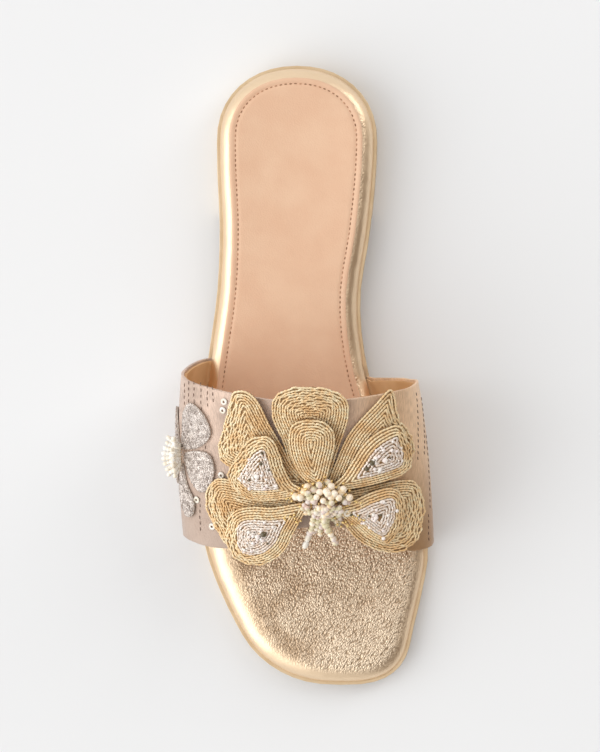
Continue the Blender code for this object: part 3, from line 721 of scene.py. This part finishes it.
FRONT_PETALS = [
    Petal("back", 1, [
        (0, 6), (-6.1, 10.5), (-8.6, 16.5), (-9.5, 23), (-8.8, 28.5), (-6.2, 32.2), (-0.8, 33.6),
        (4.8, 32.4), (7.9, 28.8), (7.9, 23.5), (5.7, 16.5), (3, 9),
    ]),
    Petal("inner_back", 0.5, [
        (3, 5), (9.2, 11), (12.8, 16), (17.5, 22.8), (22.5, 27.5), (28.5, 30.4), (32.4, 29.4),
        (34.4, 25), (35.5, 18), (33, 12), (25, 8.6), (14, 6),
    ]),
    Petal("inner_front", 0.42, [
        (3, -1), (12, 1.2), (18.5, 4.2), (26, 6.2), (30.4, 3.6), (31, -2.7), (29.3, -9), (26, -14.4),
        (22.3, -16.4), (17.6, -14.6), (13, -10.2), (7, -4.5),
    ]),
    Petal("outer_front", 0.46, [
        (-4, 0.5), (-18, -1.4), (-26, -1.2), (-32, -2.3), (-36, -6), (-37.6, -11.5), (-37.4, -17),
        (-35.4, -21.3), (-31, -24.3), (-25, -24.6), (-19.5, -22.3), (-14.8, -18), (-11.4, -12), (-7, -5),
    ]),
    Petal("outer_back", 0.48, [
        (-3, 4.5), (-9.5, 8), (-11.9, 13.5), (-13, 19.7), (-14.4, 24.4), (-17, 27), (-21.1, 26.8),
        (-25.6, 24), (-30.2, 18.5), (-33.5, 13), (-33.9, 8.5), (-31.2, 4.3), (-25.7, 1.3), (-16, 1.3),
    ]),
]
BACK_LIFT, FRONT_LIFT = 0.3, 3.2  # the felt's underside over the strap
BACK_PAD, FRONT_PAD = 1.1, 1.2  # its thickness at its edge
BACK_DOME, FRONT_DOME = 0.3, 2.2  # and how much thicker it is in its middle
CORD_PITCH = 0.96  # from row to row
EDGE_ROW, CORE_ROW = 0.5, 0.25  # from the petal's edge to the first row, and from the last one to its core
CORD_WIDE, CORD_FLAT = 0.52, 0.36  # half of the flat section that twists
SILVER_SCALE = 1.12  # the silver cord is a little thicker
CORD_RISE = 0.15  # of a cord's middle over its pad
CORD_TWIST, CORD_STEP = 1.5, 0.30
CORD_SIDES = 6
HAND_WOBBLE, WOBBLE_WAVES = (0.03, 0.08), (5, 9, 16, 27)
RAYS, RAY_POINTS, OUTLINE_POINTS = 240, 48, 130
# A pad's rings from its rim inwards: the share of the petal's depth, and of the felt's thickness.
PAD_RINGS = [(0.04, 0), (0.04, 0.8), (0.10, 1), (0.25, 1), (0.5, 1), (0.75, 1), (0.96, 1)]
PAD_FLOOR = 3  # its flat underside reaches out to below this ring

chance = random.Random(7)

gold_cord = new_finish("gold_twisted_cord")
cord_place = gold_cord.place()
cord_tone = gold_cord.noise(cord_place, 0.5, 3.0)
cord_fleck = gold_cord.noise(cord_place, 3.2, 2.0)
cord_ply = (cord_tone * 0.5 + cord_fleck * 0.5).step(0.38, 0.60)
cord_patch = gold_cord.noise(cord_place, 0.11, 2.0)
gold_cord.set(
    Base_Color=gold_cord.mix(
        cord_patch.step(0.46, 0.68) * 0.75,
        gold_cord.mix(cord_ply, (0.96, 0.66, 0.34, 1), (1.0, 0.87, 0.60, 1)),
        (0.80, 0.49, 0.21, 1),
    ),
    Metallic=0.18,
    Roughness=0.28 + 0.2 * cord_fleck,
    Normal=gold_cord.bump(cord_fleck, 0.06),
)
silver_cord = two_tone(
    "silver_twisted_cord", 0.8, 3.0, (0.38, 0.60), (0.88, 0.71, 0.57), (0.98, 0.90, 0.82),
    roughness=0.24, uneven=0.2, Metallic=0.3,
)
felt = two_tone(
    "brown_felt", 2.6, 4.0, None, (0.26, 0.15, 0.065), (0.42, 0.26, 0.12), roughness=0.9, relief=0.2
)


def petal_outline(petal):
    """A petal's outline, rounded through its points and evened out."""
    points = np.array(petal.outline, float)
    behind, ahead, next_ahead = (np.roll(points, shift, axis=0) for shift in (1, -1, -2))
    t = np.linspace(0, 1, 16, endpoint=False)[None, :, None]
    curve = (
        2 * points[:, None]
        + (ahead - behind)[:, None] * t
        + (2 * behind - 5 * points + 4 * ahead - next_ahead)[:, None] * t**2
        + (3 * points - behind - 3 * ahead + next_ahead)[:, None] * t**3
    ) / 2
    line = curve.reshape(-1, 2)
    return walk(line, np.linalg.norm(np.roll(line, -1, axis=0) - line, axis=1).sum() / OUTLINE_POINTS)[0]


def inner_lines(outline, depths):
    """Closed lines inside an outline, at depths worked out from its greatest depth, and that depth."""
    along = np.linspace(outline[:, 1].min(), outline[:, 1].max(), 120)
    middle = []
    for y in along[1:-1]:
        low, high = width_at(outline, y)
        middle.append(((low + high) / 2, y))
    middle = np.array(middle)
    deep = edge_distance(middle, outline)
    core = middle[deep.argmax()]
    turn = np.arctan2(*(outline - core).T[::-1])
    order = turn.argsort()
    far = np.linalg.norm(outline - core, axis=1)[order]
    rays = np.linspace(-np.pi, np.pi, RAYS, endpoint=False)
    limit = np.interp(rays, turn[order], far, period=2 * np.pi)
    shares = np.linspace(0, 1, RAY_POINTS)
    out = np.column_stack((np.cos(rays), np.sin(rays)))
    points = core + (limit[:, None] * shares)[..., None] * out[:, None, :]
    depth = edge_distance(points.reshape(-1, 2), outline).reshape(RAYS, -1)
    depth[:, -1] = 0
    rising = np.maximum.accumulate(depth[:, ::-1], axis=1)
    lines = []
    for wanted in depths(deep.max()):
        share = np.array([np.interp(wanted, row, shares[::-1]) for row in rising])
        lines.append(core + (limit * share)[:, None] * out)
    return lines, deep.max()


def domed(share):
    """How much of its dome a pad has reached, by the share of the way in from its edge."""
    return 1 - (1 - share) ** 2


def on_flower(flower, points, lift):
    """Points of a petal, in mm, `lift` over the strap and curled up towards the petal's tip."""
    curl = flower.curl * (np.linalg.norm(points, axis=1) / flower.curl_reach) ** 2
    return over_strap(flower.arc + points[:, 0], flower.y + points[:, 1], lift + curl)


def new_ring(bm, points):
    """A closed ring of new vertices, in mm, and its edges."""
    verts = [bm.verts.new(Vector(point) * MM) for point in points]
    return [bm.edges.new((verts[k - 1], verts[k])) for k in range(len(verts))]


def pad_mesh(petal, flower, lift, thickness, dome):
    """A petal's pad: flat below, rounded at its edge and crowned by `dome`."""
    lines, _ = inner_lines(petal_outline(petal), lambda deep: [deep * share for share, _ in PAD_RINGS])
    bm = bmesh.new()
    rings = [new_ring(bm, on_flower(flower, lines[PAD_FLOOR], lift))]
    for line, (share, rise) in zip(lines, PAD_RINGS):
        height = thickness * rise + dome * (domed(share) if rise == 1 else 0)
        rings.append(new_ring(bm, on_flower(flower, line, lift + height)))
    for ring, after in zip(rings, rings[1:]):
        bmesh.ops.bridge_loops(bm, edges=ring + after)
    for ring in (rings[0], rings[-1]):
        bmesh.ops.contextual_create(bm, geom=ring)
    bmesh.ops.recalc_face_normals(bm, faces=bm.faces)
    return bm


profile_curve = bpy.data.curves.new("cord_section", "CURVE")
section = profile_curve.splines.new("POLY")
section.points.add(CORD_SIDES - 1)
for k, point in enumerate(section.points):
    turn = 2 * math.pi * k / CORD_SIDES
    point.co = (CORD_WIDE * MM * math.cos(turn), CORD_FLAT * MM * math.sin(turn), 0, 1)
section.use_cyclic_u = True
cord_section = bpy.data.objects.new("cord_section", profile_curve)
bpy.context.scene.collection.objects.link(cord_section)


def cord_mesh(name, lines, scale=1.0):
    """Twisted cord along closed lines in mm, as one mesh."""
    curve = bpy.data.curves.new(name, "CURVE")
    curve.dimensions = "3D"
    curve.bevel_mode = "OBJECT"
    curve.bevel_object = cord_section
    for line in lines:
        points, _ = walk(line, CORD_STEP)
        spline = curve.splines.new("POLY")
        spline.points.add(len(points) - 1)
        spline.points.foreach_set("co", np.column_stack((points * MM, np.ones(len(points)))).ravel())
        turns_round = 2 * max(1, round(len(points) * CORD_STEP / CORD_TWIST / 2))
        tilt = np.arange(len(points)) / len(points) * turns_round * math.pi
        spline.points.foreach_set("tilt", tilt)
        spline.points.foreach_set("radius", np.full(len(points), scale))
        spline.use_cyclic_u = True
    holder = bpy.data.objects.new(name, curve)
    bpy.context.scene.collection.objects.link(holder)
    bpy.context.view_layer.update()
    mesh = bpy.data.meshes.new_from_object(holder.evaluated_get(bpy.context.evaluated_depsgraph_get()))
    bpy.data.objects.remove(holder)
    bpy.data.curves.remove(curve)
    bm = bmesh.new()
    bm.from_mesh(mesh)
    bmesh.ops.recalc_face_normals(bm, faces=bm.faces)
    return bm


def cord_depths(deep):
    """How far in from its edge each row of cord lies, on a petal that is so deep."""
    count = max(2, round((deep - EDGE_ROW - CORE_ROW) / CORD_PITCH) + 1)
    return np.linspace(EDGE_ROW, deep - CORE_ROW, count)


def cord_lines(petal, flower, lift, thickness, dome):
    """The rows of cord on a petal, from its edge inwards, each with its share of the petal's depth."""
    lines, deepest = inner_lines(petal_outline(petal), cord_depths)
    made = []
    for line, share in zip(lines, cord_depths(deepest) / deepest):
        height = thickness + dome * domed(share) + CORD_RISE
        round_it = np.linspace(0, 2 * np.pi, len(line), endpoint=False)
        wobble = sum(
            chance.uniform(*HAND_WOBBLE) * np.sin(round_it * waves + chance.uniform(0, 6.3))
            for waves in WOBBLE_WAVES
        )
        made.append((share, on_flower(flower, line * (1 + wobble[:, None] / 16), lift + height + wobble)))
    return made


for layer, petals, lift, pad, dome in (
    ("back", BACK_PETALS, BACK_LIFT, BACK_PAD, BACK_DOME),
    ("front", FRONT_PETALS, FRONT_LIFT, FRONT_PAD, FRONT_DOME),
):
    for petal in petals:
        name = f"{layer}_petal_{petal.name}"
        size = (petal, BIG_FLOWER, lift, pad, dome)
        add_piece(name + "_felt", pad_mesh(*size), felt, [name])
        rows = cord_lines(*size)
        gold = [line for share, line in rows if share < petal.silver]
        add_piece(name + "_cord", cord_mesh(name, gold), gold_cord.owner)
        silver = [line for share, line in rows if share >= petal.silver]
        if silver:
            silver_rows = cord_mesh(name, silver, scale=SILVER_SCALE)
            add_piece(name + "_silver", silver_rows, silver_cord)
bpy.data.objects.remove(cord_section)

# ---------------------------------------------------------------------------
# Beads on the petals: dark olive glass beads, and pale flecks of cut bead round them, sewn over the silver
# middles of four front petals.
# ---------------------------------------------------------------------------

# The dark beads by petal: their places from the flower's centre, and their radii.
EYES = {
    "inner_back": [(20.3, 16.9, 1.15), (18.2, 14.6, 0.9), (26.5, 18.6, 0.5)],
    "inner_front": [(21.5, -3.8, 0.55), (17.5, -4.1, 0.5), (14.0, -4.2, 0.5), (11.2, -4.0, 0.6)],
    "outer_front": [(-22.4, -11.3, 1.3), (-25.6, -10.4, 0.5), (-21.4, -15.2, 0.5)],
    "outer_back": [(-19.3, 20.9, 0.55), (-20.2, 16.8, 0.75), (-25.2, 10.4, 0.55), (-17.6, 14.2, 0.45)],
}
FLECKS = 18
FLECK_RADII = (0.5, 0.95)
FLECK_FLAT = 0.5
CORE_RADIUS, CORE_FLAT = 1.1, 0.6  # the pale bead that covers where the cord ends

dark_bead = new_finish("dark_olive_bead")
dark_bead.set(Base_Color=(0.10, 0.075, 0.03, 1), Roughness=0.2, Coat_Weight=0.5)
pale_fleck = two_tone(
    "pale_fleck", 0.6, 1.0, (0.4, 0.6), (0.90, 0.79, 0.75), (0.96, 0.92, 0.86),
    roughness=0.15, Coat_Weight=0.5,
)


def add_bead(bm, centre, radius, subdivisions=2, squash=1.0, out=(0, 0, 1)):
    """A bead at a place in mm, scaled along `out` by `squash`."""
    shape = facing(Vector(centre) * MM, out) @ Matrix.Diagonal((1, 1, squash, 1))
    bmesh.ops.create_icosphere(bm, subdivisions=subdivisions, radius=radius * MM, matrix=shape)


def over_petal(outline, deepest, place, rise):
    """A place in mm that stands `rise` over a front petal's crowned pad."""
    share = min(1.0, edge_distance(place[None], outline)[0] / deepest)
    crown = FRONT_LIFT + FRONT_PAD + FRONT_DOME * domed(share)
    return on_flower(BIG_FLOWER, place[None], crown + rise)[0]


eyes, flecks = bmesh.new(), bmesh.new()
for petal in [petal for petal in FRONT_PETALS if petal.silver < 1]:
    outline = petal_outline(petal)
    (edge,), _ = inner_lines(outline, lambda deep: [deep * petal.silver])
    core = edge.mean(axis=0)
    size = (outline, edge_distance(core[None], outline)[0])
    for x, y, radius in EYES[petal.name]:
        add_bead(eyes, over_petal(*size, np.array([x, y]), 0.75), radius)
    add_bead(flecks, over_petal(*size, core, 0.6), CORE_RADIUS, squash=CORE_FLAT)
    for _ in range(FLECKS):
        place = core + (edge[chance.randrange(len(edge))] - core) * chance.uniform(0.1, 1.1)
        add_bead(flecks, over_petal(*size, place, 0.85), chance.uniform(*FLECK_RADII), 1, FLECK_FLAT)
add_piece("petal_eyes", eyes, dark_bead.owner)
add_piece("petal_flecks", flecks, pale_fleck)

# ---------------------------------------------------------------------------
# Flower's centre: cream pearls on short gold wires that crowd over the petals' roots, bits of gold purl
# between them, and strings of pale crystals and pearls that hang towards the toe.
# ---------------------------------------------------------------------------

PEARL_RADII = (1.25, 1.6)
PEARLS = 44
PEARL_STRAY, LOWER_STRAY, PURL_STRAY = 0.9, 1.2, 1.8  # how far each may stand off its even place
CLUSTER_ROUND, CLUSTER_LONG = 10.6, 6.6  # half the size of the cluster, round the foot and along it
CLUSTER_INWARD, CLUSTER_HEELWARD = 1.3, 2.7  # its middle, from the flower's
STRUNG_FROM = -0.6  # in front of this place the cluster is crystals, and behind it mostly pearls
STRUNG_SIZE, STRUNG_RISE = 0.8, 0.6  # those crystals are smaller, and lie lower
CLUSTER_FOOT, CLUSTER_RISE = 6.6, 4.4  # its edge's height over the strap, and its middle's over its edge
WIRE_RADIUS, ROD_SIDES = 0.22, 6
WIRE_GATHER, WIRE_START = 0.55, 3.0  # a wire starts at this share of its pearl's reach, and this deep
PURL_RADIUS, LOWER_RADIUS = 0.55, 1.15
# Bits of purl at the petals' roots: to the inner side and to the heel from the cluster's middle, and up.
PURL_BITS = (
    (-14.5, -7.9, 6.2), (-12.2, -7.3, 6.4), (-10.5, -9.0, 6.4), (4.5, -10.7, 6.2), (6.8, -9.6, 6.4),
    (8.8, -10.7, 6.2), (11.5, -7.4, 6.8), (13.5, -8.0, 6.8), (12.8, -1.2, 7.0), (-13.0, -0.2, 7.0),
)
# Strings: the slant of each to the inner side in degrees, how far it reaches from the cluster's middle, its
# beads' radius, and whether it ends in a pair of long white beads.
STRINGS = (
    (-44, 11.5, 1.1, False), (-28, 17.0, 1.3, True), (-21, 15.5, 1.25, False), (-12, 13.5, 1.2, False),
    (-6, 16.0, 1.25, False), (3, 19.5, 1.35, False), (7, 14.0, 1.15, False), (16, 12.5, 1.2, False),
    (30, 12.0, 1.15, False), (44, 11.0, 1.1, False),
)
STRING_START = 1.2  # from the cluster's middle
STRING_PITCH = 1.7  # from bead to bead, in their radius
STRING_RISE, STRING_END = 3.6, 2.4  # its start's height over the cluster's edge, and its end's over the strap
DROP_RADIUS, DROP_LONG = 1.3, 1.5
DROP_PLACES, DROP_RISE = (2.2, 5.2), 2.0  # past the string's end, and over the strap

pearl = new_finish("cream_pearl")
pearl_tone = pearl.noise(pearl.place(), 0.33, 2.0)
pearl_cloud = pearl.noise(pearl.place(), 1.1, 2.0)
pearl_cream = pearl.mix(pearl_tone.step(0.40, 0.60), (0.95, 0.73, 0.44, 1), (0.98, 0.87, 0.71, 1))
pearl.set(
    Base_Color=pearl.mix(pearl_cloud.step(0.45, 0.85), pearl_cream, (0.95, 0.88, 0.78, 1)),
    Roughness=0.16,
    Coat_Weight=0.6,
    Coat_Roughness=0.08,
    Sheen_Weight=0.3,
    Sheen_Tint=(1.0, 0.86, 0.84, 1),
)
crystal = new_finish("pale_crystal")
crystal_place = crystal.place()
crystal_tone = crystal.noise(crystal_place, 0.25, 1.0)
crystal_tint = crystal.noise(crystal_place, 0.4, 1.0)
crystal.set(
    Base_Color=crystal.mix(
        crystal_tone.step(0.42, 0.58),
        crystal.mix(crystal_tint.step(0.4, 0.6), (0.90, 0.70, 0.62, 1), (0.95, 0.86, 0.80, 1)),
        (0.86, 0.78, 0.52, 1),
    ),
    Roughness=0.12,
    IOR=1.55,
    Transmission_Weight=0.15,
)
ivory_bead = two_tone(
    "ivory_bead", 0.4, 2.0, (0.35, 0.65), (0.88, 0.80, 0.66), (0.97, 0.94, 0.88),
    roughness=0.22, Coat_Weight=0.4,
)
gold_wire = two_tone(
    "gold_wire", 1.0, 2.0, None, (0.80, 0.55, 0.20), (0.98, 0.80, 0.42),
    roughness=0.25, uneven=0.1, Metallic=1.0,
)


def add_rod(bm, start, end, radius):
    """A thin rod between two places in mm."""
    start, end = Vector(start) * MM, Vector(end) * MM
    rod = end - start
    ends = {"radius1": radius * MM, "radius2": radius * MM}
    place = facing((start + end) / 2, rod)
    bmesh.ops.create_cone(bm, cap_ends=True, segments=ROD_SIDES, depth=rod.length, matrix=place, **ends)


def near_centre(across, along, lift):
    """A place over the cluster's middle, `across` to the inner side and `along` to the heel, in mm."""
    arc = BIG_FLOWER.arc + CLUSTER_INWARD + across
    return over_strap(arc, BIG_FLOWER.y + CLUSTER_HEELWARD + along, lift)


pearls, crystals, ivory, wires, purl = [bmesh.new() for _ in range(5)]
golden = math.pi * (3 - math.sqrt(5))
for k in range(PEARLS):
    share = math.sqrt((k + 0.5) / PEARLS)
    turn = k * golden
    across = CLUSTER_ROUND * share * math.sin(turn) + chance.uniform(-PEARL_STRAY, PEARL_STRAY)
    along = CLUSTER_LONG * share * math.cos(turn) + chance.uniform(-PEARL_STRAY, PEARL_STRAY)
    rise = max(0.0, CLUSTER_RISE * (1 - share**2) ** 0.7 + chance.uniform(-1.3, 0.7))
    strung = along < STRUNG_FROM
    rise *= STRUNG_RISE if strung else 1.0
    place = near_centre(across, along, CLUSTER_FOOT + rise)
    radius = chance.uniform(*PEARL_RADII)
    add_bead(crystals if strung or k % 4 == 2 else pearls, place, radius * (STRUNG_SIZE if strung else 1.0))
    root = near_centre(across * WIRE_GATHER, along * WIRE_GATHER, CLUSTER_FOOT - WIRE_START)
    add_rod(wires, root, place, WIRE_RADIUS)
    for drop in (0.4, 1.2, 2.0):
        spot = [place + chance.uniform(-PURL_STRAY, PURL_STRAY) for place in (across, along)]
        add_bead(purl, near_centre(*spot, CLUSTER_FOOT + rise * 0.8 - drop), chance.uniform(0.55, 0.85), 1)
    spot = [place * 0.9 + chance.uniform(-LOWER_STRAY, LOWER_STRAY) for place in (across, along)]
    lower = near_centre(*spot, CLUSTER_FOOT + rise * 0.5 - 1.4)
    add_bead(crystals if k % 3 else pearls, lower, LOWER_RADIUS)
for slant, length, size, drops in STRINGS:
    count = int((length - STRING_START) / (size * STRING_PITCH)) + 1
    for bead in range(count):
        share = (bead + 1) / count
        reach = STRING_START + (length - STRING_START) * share
        turn = math.radians(180 - slant - 5 * math.sin(share * 5 + slant))
        fallen = share**1.7
        lift = (CLUSTER_FOOT + STRING_RISE) * (1 - fallen) + STRING_END * fallen
        place = near_centre(reach * math.sin(turn), reach * math.cos(turn), lift)
        strand = pearls if (bead + slant) % 4 == 0 else crystals
        add_bead(strand, place, size * chance.uniform(0.88, 1.12))
    if drops:
        for past in DROP_PLACES:
            reach = length + past
            place = near_centre(reach * math.sin(turn), reach * math.cos(turn), DROP_RISE)
            hang = (math.sin(turn), math.cos(turn), -0.1)
            add_bead(ivory, place, DROP_RADIUS, squash=DROP_LONG, out=hang)
for across, along, lift in PURL_BITS:
    for _ in range(3):
        spot = (across + chance.uniform(-1.2, 1.2), along + chance.uniform(-0.8, 0.8))
        add_bead(purl, near_centre(*spot, lift + chance.uniform(-0.5, 0.8)), PURL_RADIUS, 1)
add_piece("centre_pearls", pearls, pearl.owner, ["pearl_centre"])
add_piece("centre_crystals", crystals, crystal.owner)
add_piece("centre_drops", ivory, ivory_bead)
add_piece("centre_wires", wires, gold_wire)
add_piece("centre_purl", purl, gold_wire)

# ---------------------------------------------------------------------------
# Side flower: five felt petals covered with overlapping silver sequins and outlined with taupe thread, and
# a tuft of ivory beads on wires that stands out from the foot's outer side.
# ---------------------------------------------------------------------------

SIDE_FLOWER = Flower(-60.0, -31.5, 0.4, 20.0)
SIDE_PETALS = [
    Petal("1", 1, [
        (1, 3), (1.5, 9.5), (2.8, 17), (7.5, 21.2), (12.5, 20), (17.2, 15.5), (18.8, 8.5), (12, 3.2),
    ]),
    Petal("2", 1, [
        (3, 1), (11.5, 2.4), (17.4, 0.8), (19.2, -5), (16.6, -12), (11.5, -14.6), (7, -11), (3.5, -4),
    ]),
    Petal("3", 1, [
        (1, -3), (4.2, -11.5), (7.6, -17.5), (7, -23.3), (3.2, -24.6), (0, -21), (-2.5, -14), (-1, -7),
    ]),
    Petal("4", 1, [
        (-2, -1.5), (-7, -9), (-12.5, -12), (-18.5, -10), (-20.5, -4), (-17, 0.5), (-10, 1),
    ]),
    Petal("5", 1, [
        (-1.5, 2), (-9, 3.5), (-16, 5), (-20, 10.5), (-17.5, 17.5), (-11, 19.5), (-5.5, 16), (-2.5, 9),
    ]),
]
SIDE_LIFT, SIDE_PAD, SIDE_DOME = 0.12, 0.4, 0.35
SEQUIN_RADIUS, SEQUIN_HOLE, SEQUIN_CUP = 0.8, 0.2, 0.22
SEQUIN_THICK = 0.12
SEQUIN_SPACING, SEQUIN_ROW = 1.1, 0.95
SEQUIN_TIP = 14  # degrees that one may lie askew
FIRST_ROW = 1.15  # of sequins, from the petal's edge
OUTLINE_PITCH, OUTLINE_LENGTH, OUTLINE_RADIUS = 1.9, 1.1, 0.2
STAMENS, STAMEN_RADIUS = 8, 0.25
STAMEN_BEADS = (1.0, 0.78, 0.56, 0.34)  # their places along each wire
STAMEN_BEAD_RADII, STAMEN_BEAD_LONG = (0.8, 1.1), 1.25

silver_sequin = new_finish("silver_sequin")
sequin_place = silver_sequin.place()
sequin_cells = {"Vector": sequin_place, "Scale": 0.9}
sequin_tone = silver_sequin.node("TexVoronoi", values=sequin_cells, output="Color")
sequin_share = silver_sequin.node("SeparateColor", values={"Color": sequin_tone}, output="Red")
silver_sequin.set(
    Base_Color=silver_sequin.mix(sequin_share, (0.40, 0.33, 0.29, 1), (0.90, 0.82, 0.76, 1)),
    Metallic=0.6,
    Roughness=0.2 + 0.2 * sequin_share,
)
taupe_thread = two_tone(
    "taupe_thread", 1.2, 2.0, (0.3, 0.7), (0.38, 0.28, 0.22), (0.66, 0.57, 0.50), roughness=0.6
)
cream_felt = two_tone(
    "cream_felt", 2.6, 3.0, None, (0.62, 0.55, 0.48), (0.78, 0.72, 0.66), roughness=0.85, relief=0.15
)


def sequin_shape(radius, hole, cup, segments):
    """A small round cupped plate with a hole, as a mesh that is copied for every sequin."""
    bm = bmesh.new()
    bmesh.ops.create_circle(bm, segments=segments, radius=radius * MM)
    outer = bm.edges[:]
    inner = bmesh.ops.extrude_edge_only(bm, edges=outer)["geom"]
    verts = [item for item in inner if isinstance(item, bmesh.types.BMVert)]
    bmesh.ops.scale(bm, verts=verts, vec=(hole / radius, hole / radius, 1))
    bmesh.ops.translate(bm, verts=verts, vec=(0, 0, -cup * MM))
    bmesh.ops.recalc_face_normals(bm, faces=bm.faces)
    if bm.faces[0].normal.z < 0:
        bmesh.ops.reverse_faces(bm, faces=bm.faces)
    bmesh.ops.solidify(bm, geom=bm.faces[:], thickness=SEQUIN_THICK * MM)
    mesh = bpy.data.meshes.new("sequin_shape")
    bm.to_mesh(mesh)
    bm.free()
    return mesh


def add_copy(bm, shape, centre, out, spin=0.0, tip=0.0):
    """Adds a copy of a small mesh at a place in mm, facing `out` and tipped by `tip` degrees."""
    known = len(bm.verts)
    bm.from_mesh(shape)
    bm.verts.ensure_lookup_table()
    lean = Matrix.Rotation(spin, 4, "Z") @ Matrix.Rotation(math.radians(tip), 4, "X")
    bmesh.ops.transform(bm, matrix=facing(Vector(centre) * MM, out) @ lean, verts=bm.verts[known:])


def sequin_depths(deep):
    """How far in from its edge each row of sequins lies, on a petal that is so deep."""
    return np.arange(FIRST_ROW, deep, SEQUIN_ROW)


sequin = sequin_shape(SEQUIN_RADIUS, SEQUIN_HOLE, SEQUIN_CUP, 8)
sequins, outlines = bmesh.new(), bmesh.new()
for petal in SIDE_PETALS:
    name = "side_petal_" + petal.name
    size = (petal, SIDE_FLOWER, SIDE_LIFT, SIDE_PAD, SIDE_DOME)
    add_piece(name + "_felt", pad_mesh(*size), cream_felt, [name])
    outline = petal_outline(petal)
    (line,), _ = inner_lines(outline, lambda deep: [OUTLINE_RADIUS])
    spots, _ = walk(on_flower(SIDE_FLOWER, line, SIDE_LIFT + SIDE_PAD + OUTLINE_RADIUS), OUTLINE_PITCH)
    ahead = np.roll(spots, -1, axis=0) - spots
    for spot, step in zip(spots, ahead):
        add_stitch(outlines, (spot + step * 0.3) * MM, step, OUTLINE_LENGTH, OUTLINE_RADIUS)
    rows, deepest = inner_lines(outline, sequin_depths)
    for row, share in zip(rows, sequin_depths(deepest) / deepest):
        lift = SIDE_LIFT + SIDE_PAD + SIDE_DOME * domed(share) + SEQUIN_CUP
        on_row, _ = walk(row, SEQUIN_SPACING)
        places = on_flower(SIDE_FLOWER, on_row, lift)
        above = on_flower(SIDE_FLOWER, on_row, lift + 1)
        for place, over in zip(places, above):
            spin, tip = chance.uniform(0, 6.3), chance.uniform(-SEQUIN_TIP, SEQUIN_TIP)
            add_copy(sequins, sequin, place, over - place, spin, tip)
add_piece("side_flower_sequins", sequins, silver_sequin.owner)
add_piece("side_flower_outlines", outlines, taupe_thread)

stamen_beads, stamen_wires = bmesh.new(), bmesh.new()
for k in range(STAMENS):
    along = (k + 0.5) / STAMENS * 2 - 1
    for side in (-1, 1):
        across = side * (0.9 + chance.uniform(-0.3, 0.5)) * math.sqrt(1 - along**2)
        root = over_strap(SIDE_FLOWER.arc + 1.2 * across, SIDE_FLOWER.y + 3.5 * along, 0.6)
        reach = 6.2 - 1.6 * abs(along)
        tip = over_strap(SIDE_FLOWER.arc + 3.6 * across, SIDE_FLOWER.y + 8.2 * along, reach)
        add_rod(stamen_wires, root, tip, STAMEN_RADIUS)
        for place in STAMEN_BEADS:
            bead = root * (1 - place) + tip * place
            radius = chance.uniform(*STAMEN_BEAD_RADII)
            add_bead(stamen_beads, bead, radius, squash=STAMEN_BEAD_LONG, out=tip - root)
add_piece("side_flower_beads", stamen_beads, ivory_bead, ["side_stamens"])
add_piece("side_flower_wires", stamen_wires, gold_wire)

# ---------------------------------------------------------------------------
# Running stitches in dark brown thread down both sides of the strap, worked by hand through the fabric, and
# single ring sequins sewn among them.
# ---------------------------------------------------------------------------

# Columns by the places where they start and end: the distance round the strap from its crown, and along
# the shoe.
Column = namedtuple("Column", "start_arc start_y end_arc end_y")
STITCH_COLUMNS = [
    Column(51.5, -7, 43.5, -34),
    Column(61, -9, 49.5, -31),
    Column(57, -24, 50, -52),
    Column(47.5, -55.5, 45.4, -66.5),
    Column(70, -10, 66, -60),
    Column(-58, -3.5, -57.5, -13),
    Column(-54, -2.5, -54, -10),
    Column(-50, -2.5, -50, -12),
    Column(-45.5, -3, -46, -17),
    Column(-42, -4, -42.5, -13),
    Column(-39, -4.5, -39.5, -10.5),
    Column(-45, -28, -44.5, -44),
    Column(-49.9, -49, -51, -61.5),
    Column(-73, -6, -76, -56),
]
RUNNING_LENGTH, RUNNING_PITCH, RUNNING_RADIUS = 1.5, 2.4, 0.2
SWAY = 0.12  # of a column of stitches from its line
RING_RADIUS, RING_HOLE, RING_CROWN = 1.5, 0.55, 0.25
# Ring sequins: the same two places, and how far each stands over the strap.
RING_SPOTS = [
    (-34, -9.8, 0.35), (-35, -13.2, 0.35), (-38.5, -39, 0.35), (-51.4, -49.1, 0.35), (-44.9, -59.7, 0.35),
    (10.7, -51.5, 6.2),
]

dark_thread = two_tone(
    "dark_thread", 2.0, 2.0, None, (0.13, 0.08, 0.06), (0.24, 0.16, 0.12), roughness=0.75
)
running = bmesh.new()
for column in STITCH_COLUMNS:
    start, end = np.array(column[:2], float), np.array(column[2:], float)
    for share in np.arange(0, 1, RUNNING_PITCH / np.linalg.norm(end - start)):
        arc, y = start + (end - start) * share + (SWAY * math.sin(share * 9), 0)
        centre = over_strap(arc, y, 0.1)
        along = over_strap(arc, y + 1, 0.1) - centre
        add_stitch(running, centre * MM, along, RUNNING_LENGTH, RUNNING_RADIUS)
add_piece("strap_running_stitches", running, dark_thread)

ring = sequin_shape(RING_RADIUS, RING_HOLE, -RING_CROWN, 16)
rings = bmesh.new()
for arc, y, lift in RING_SPOTS:
    place, over = over_strap(arc, y, lift), over_strap(arc, y, lift + 1)
    add_copy(rings, ring, place, over - place)
add_piece("strap_ring_sequins", rings, ivory_bead)
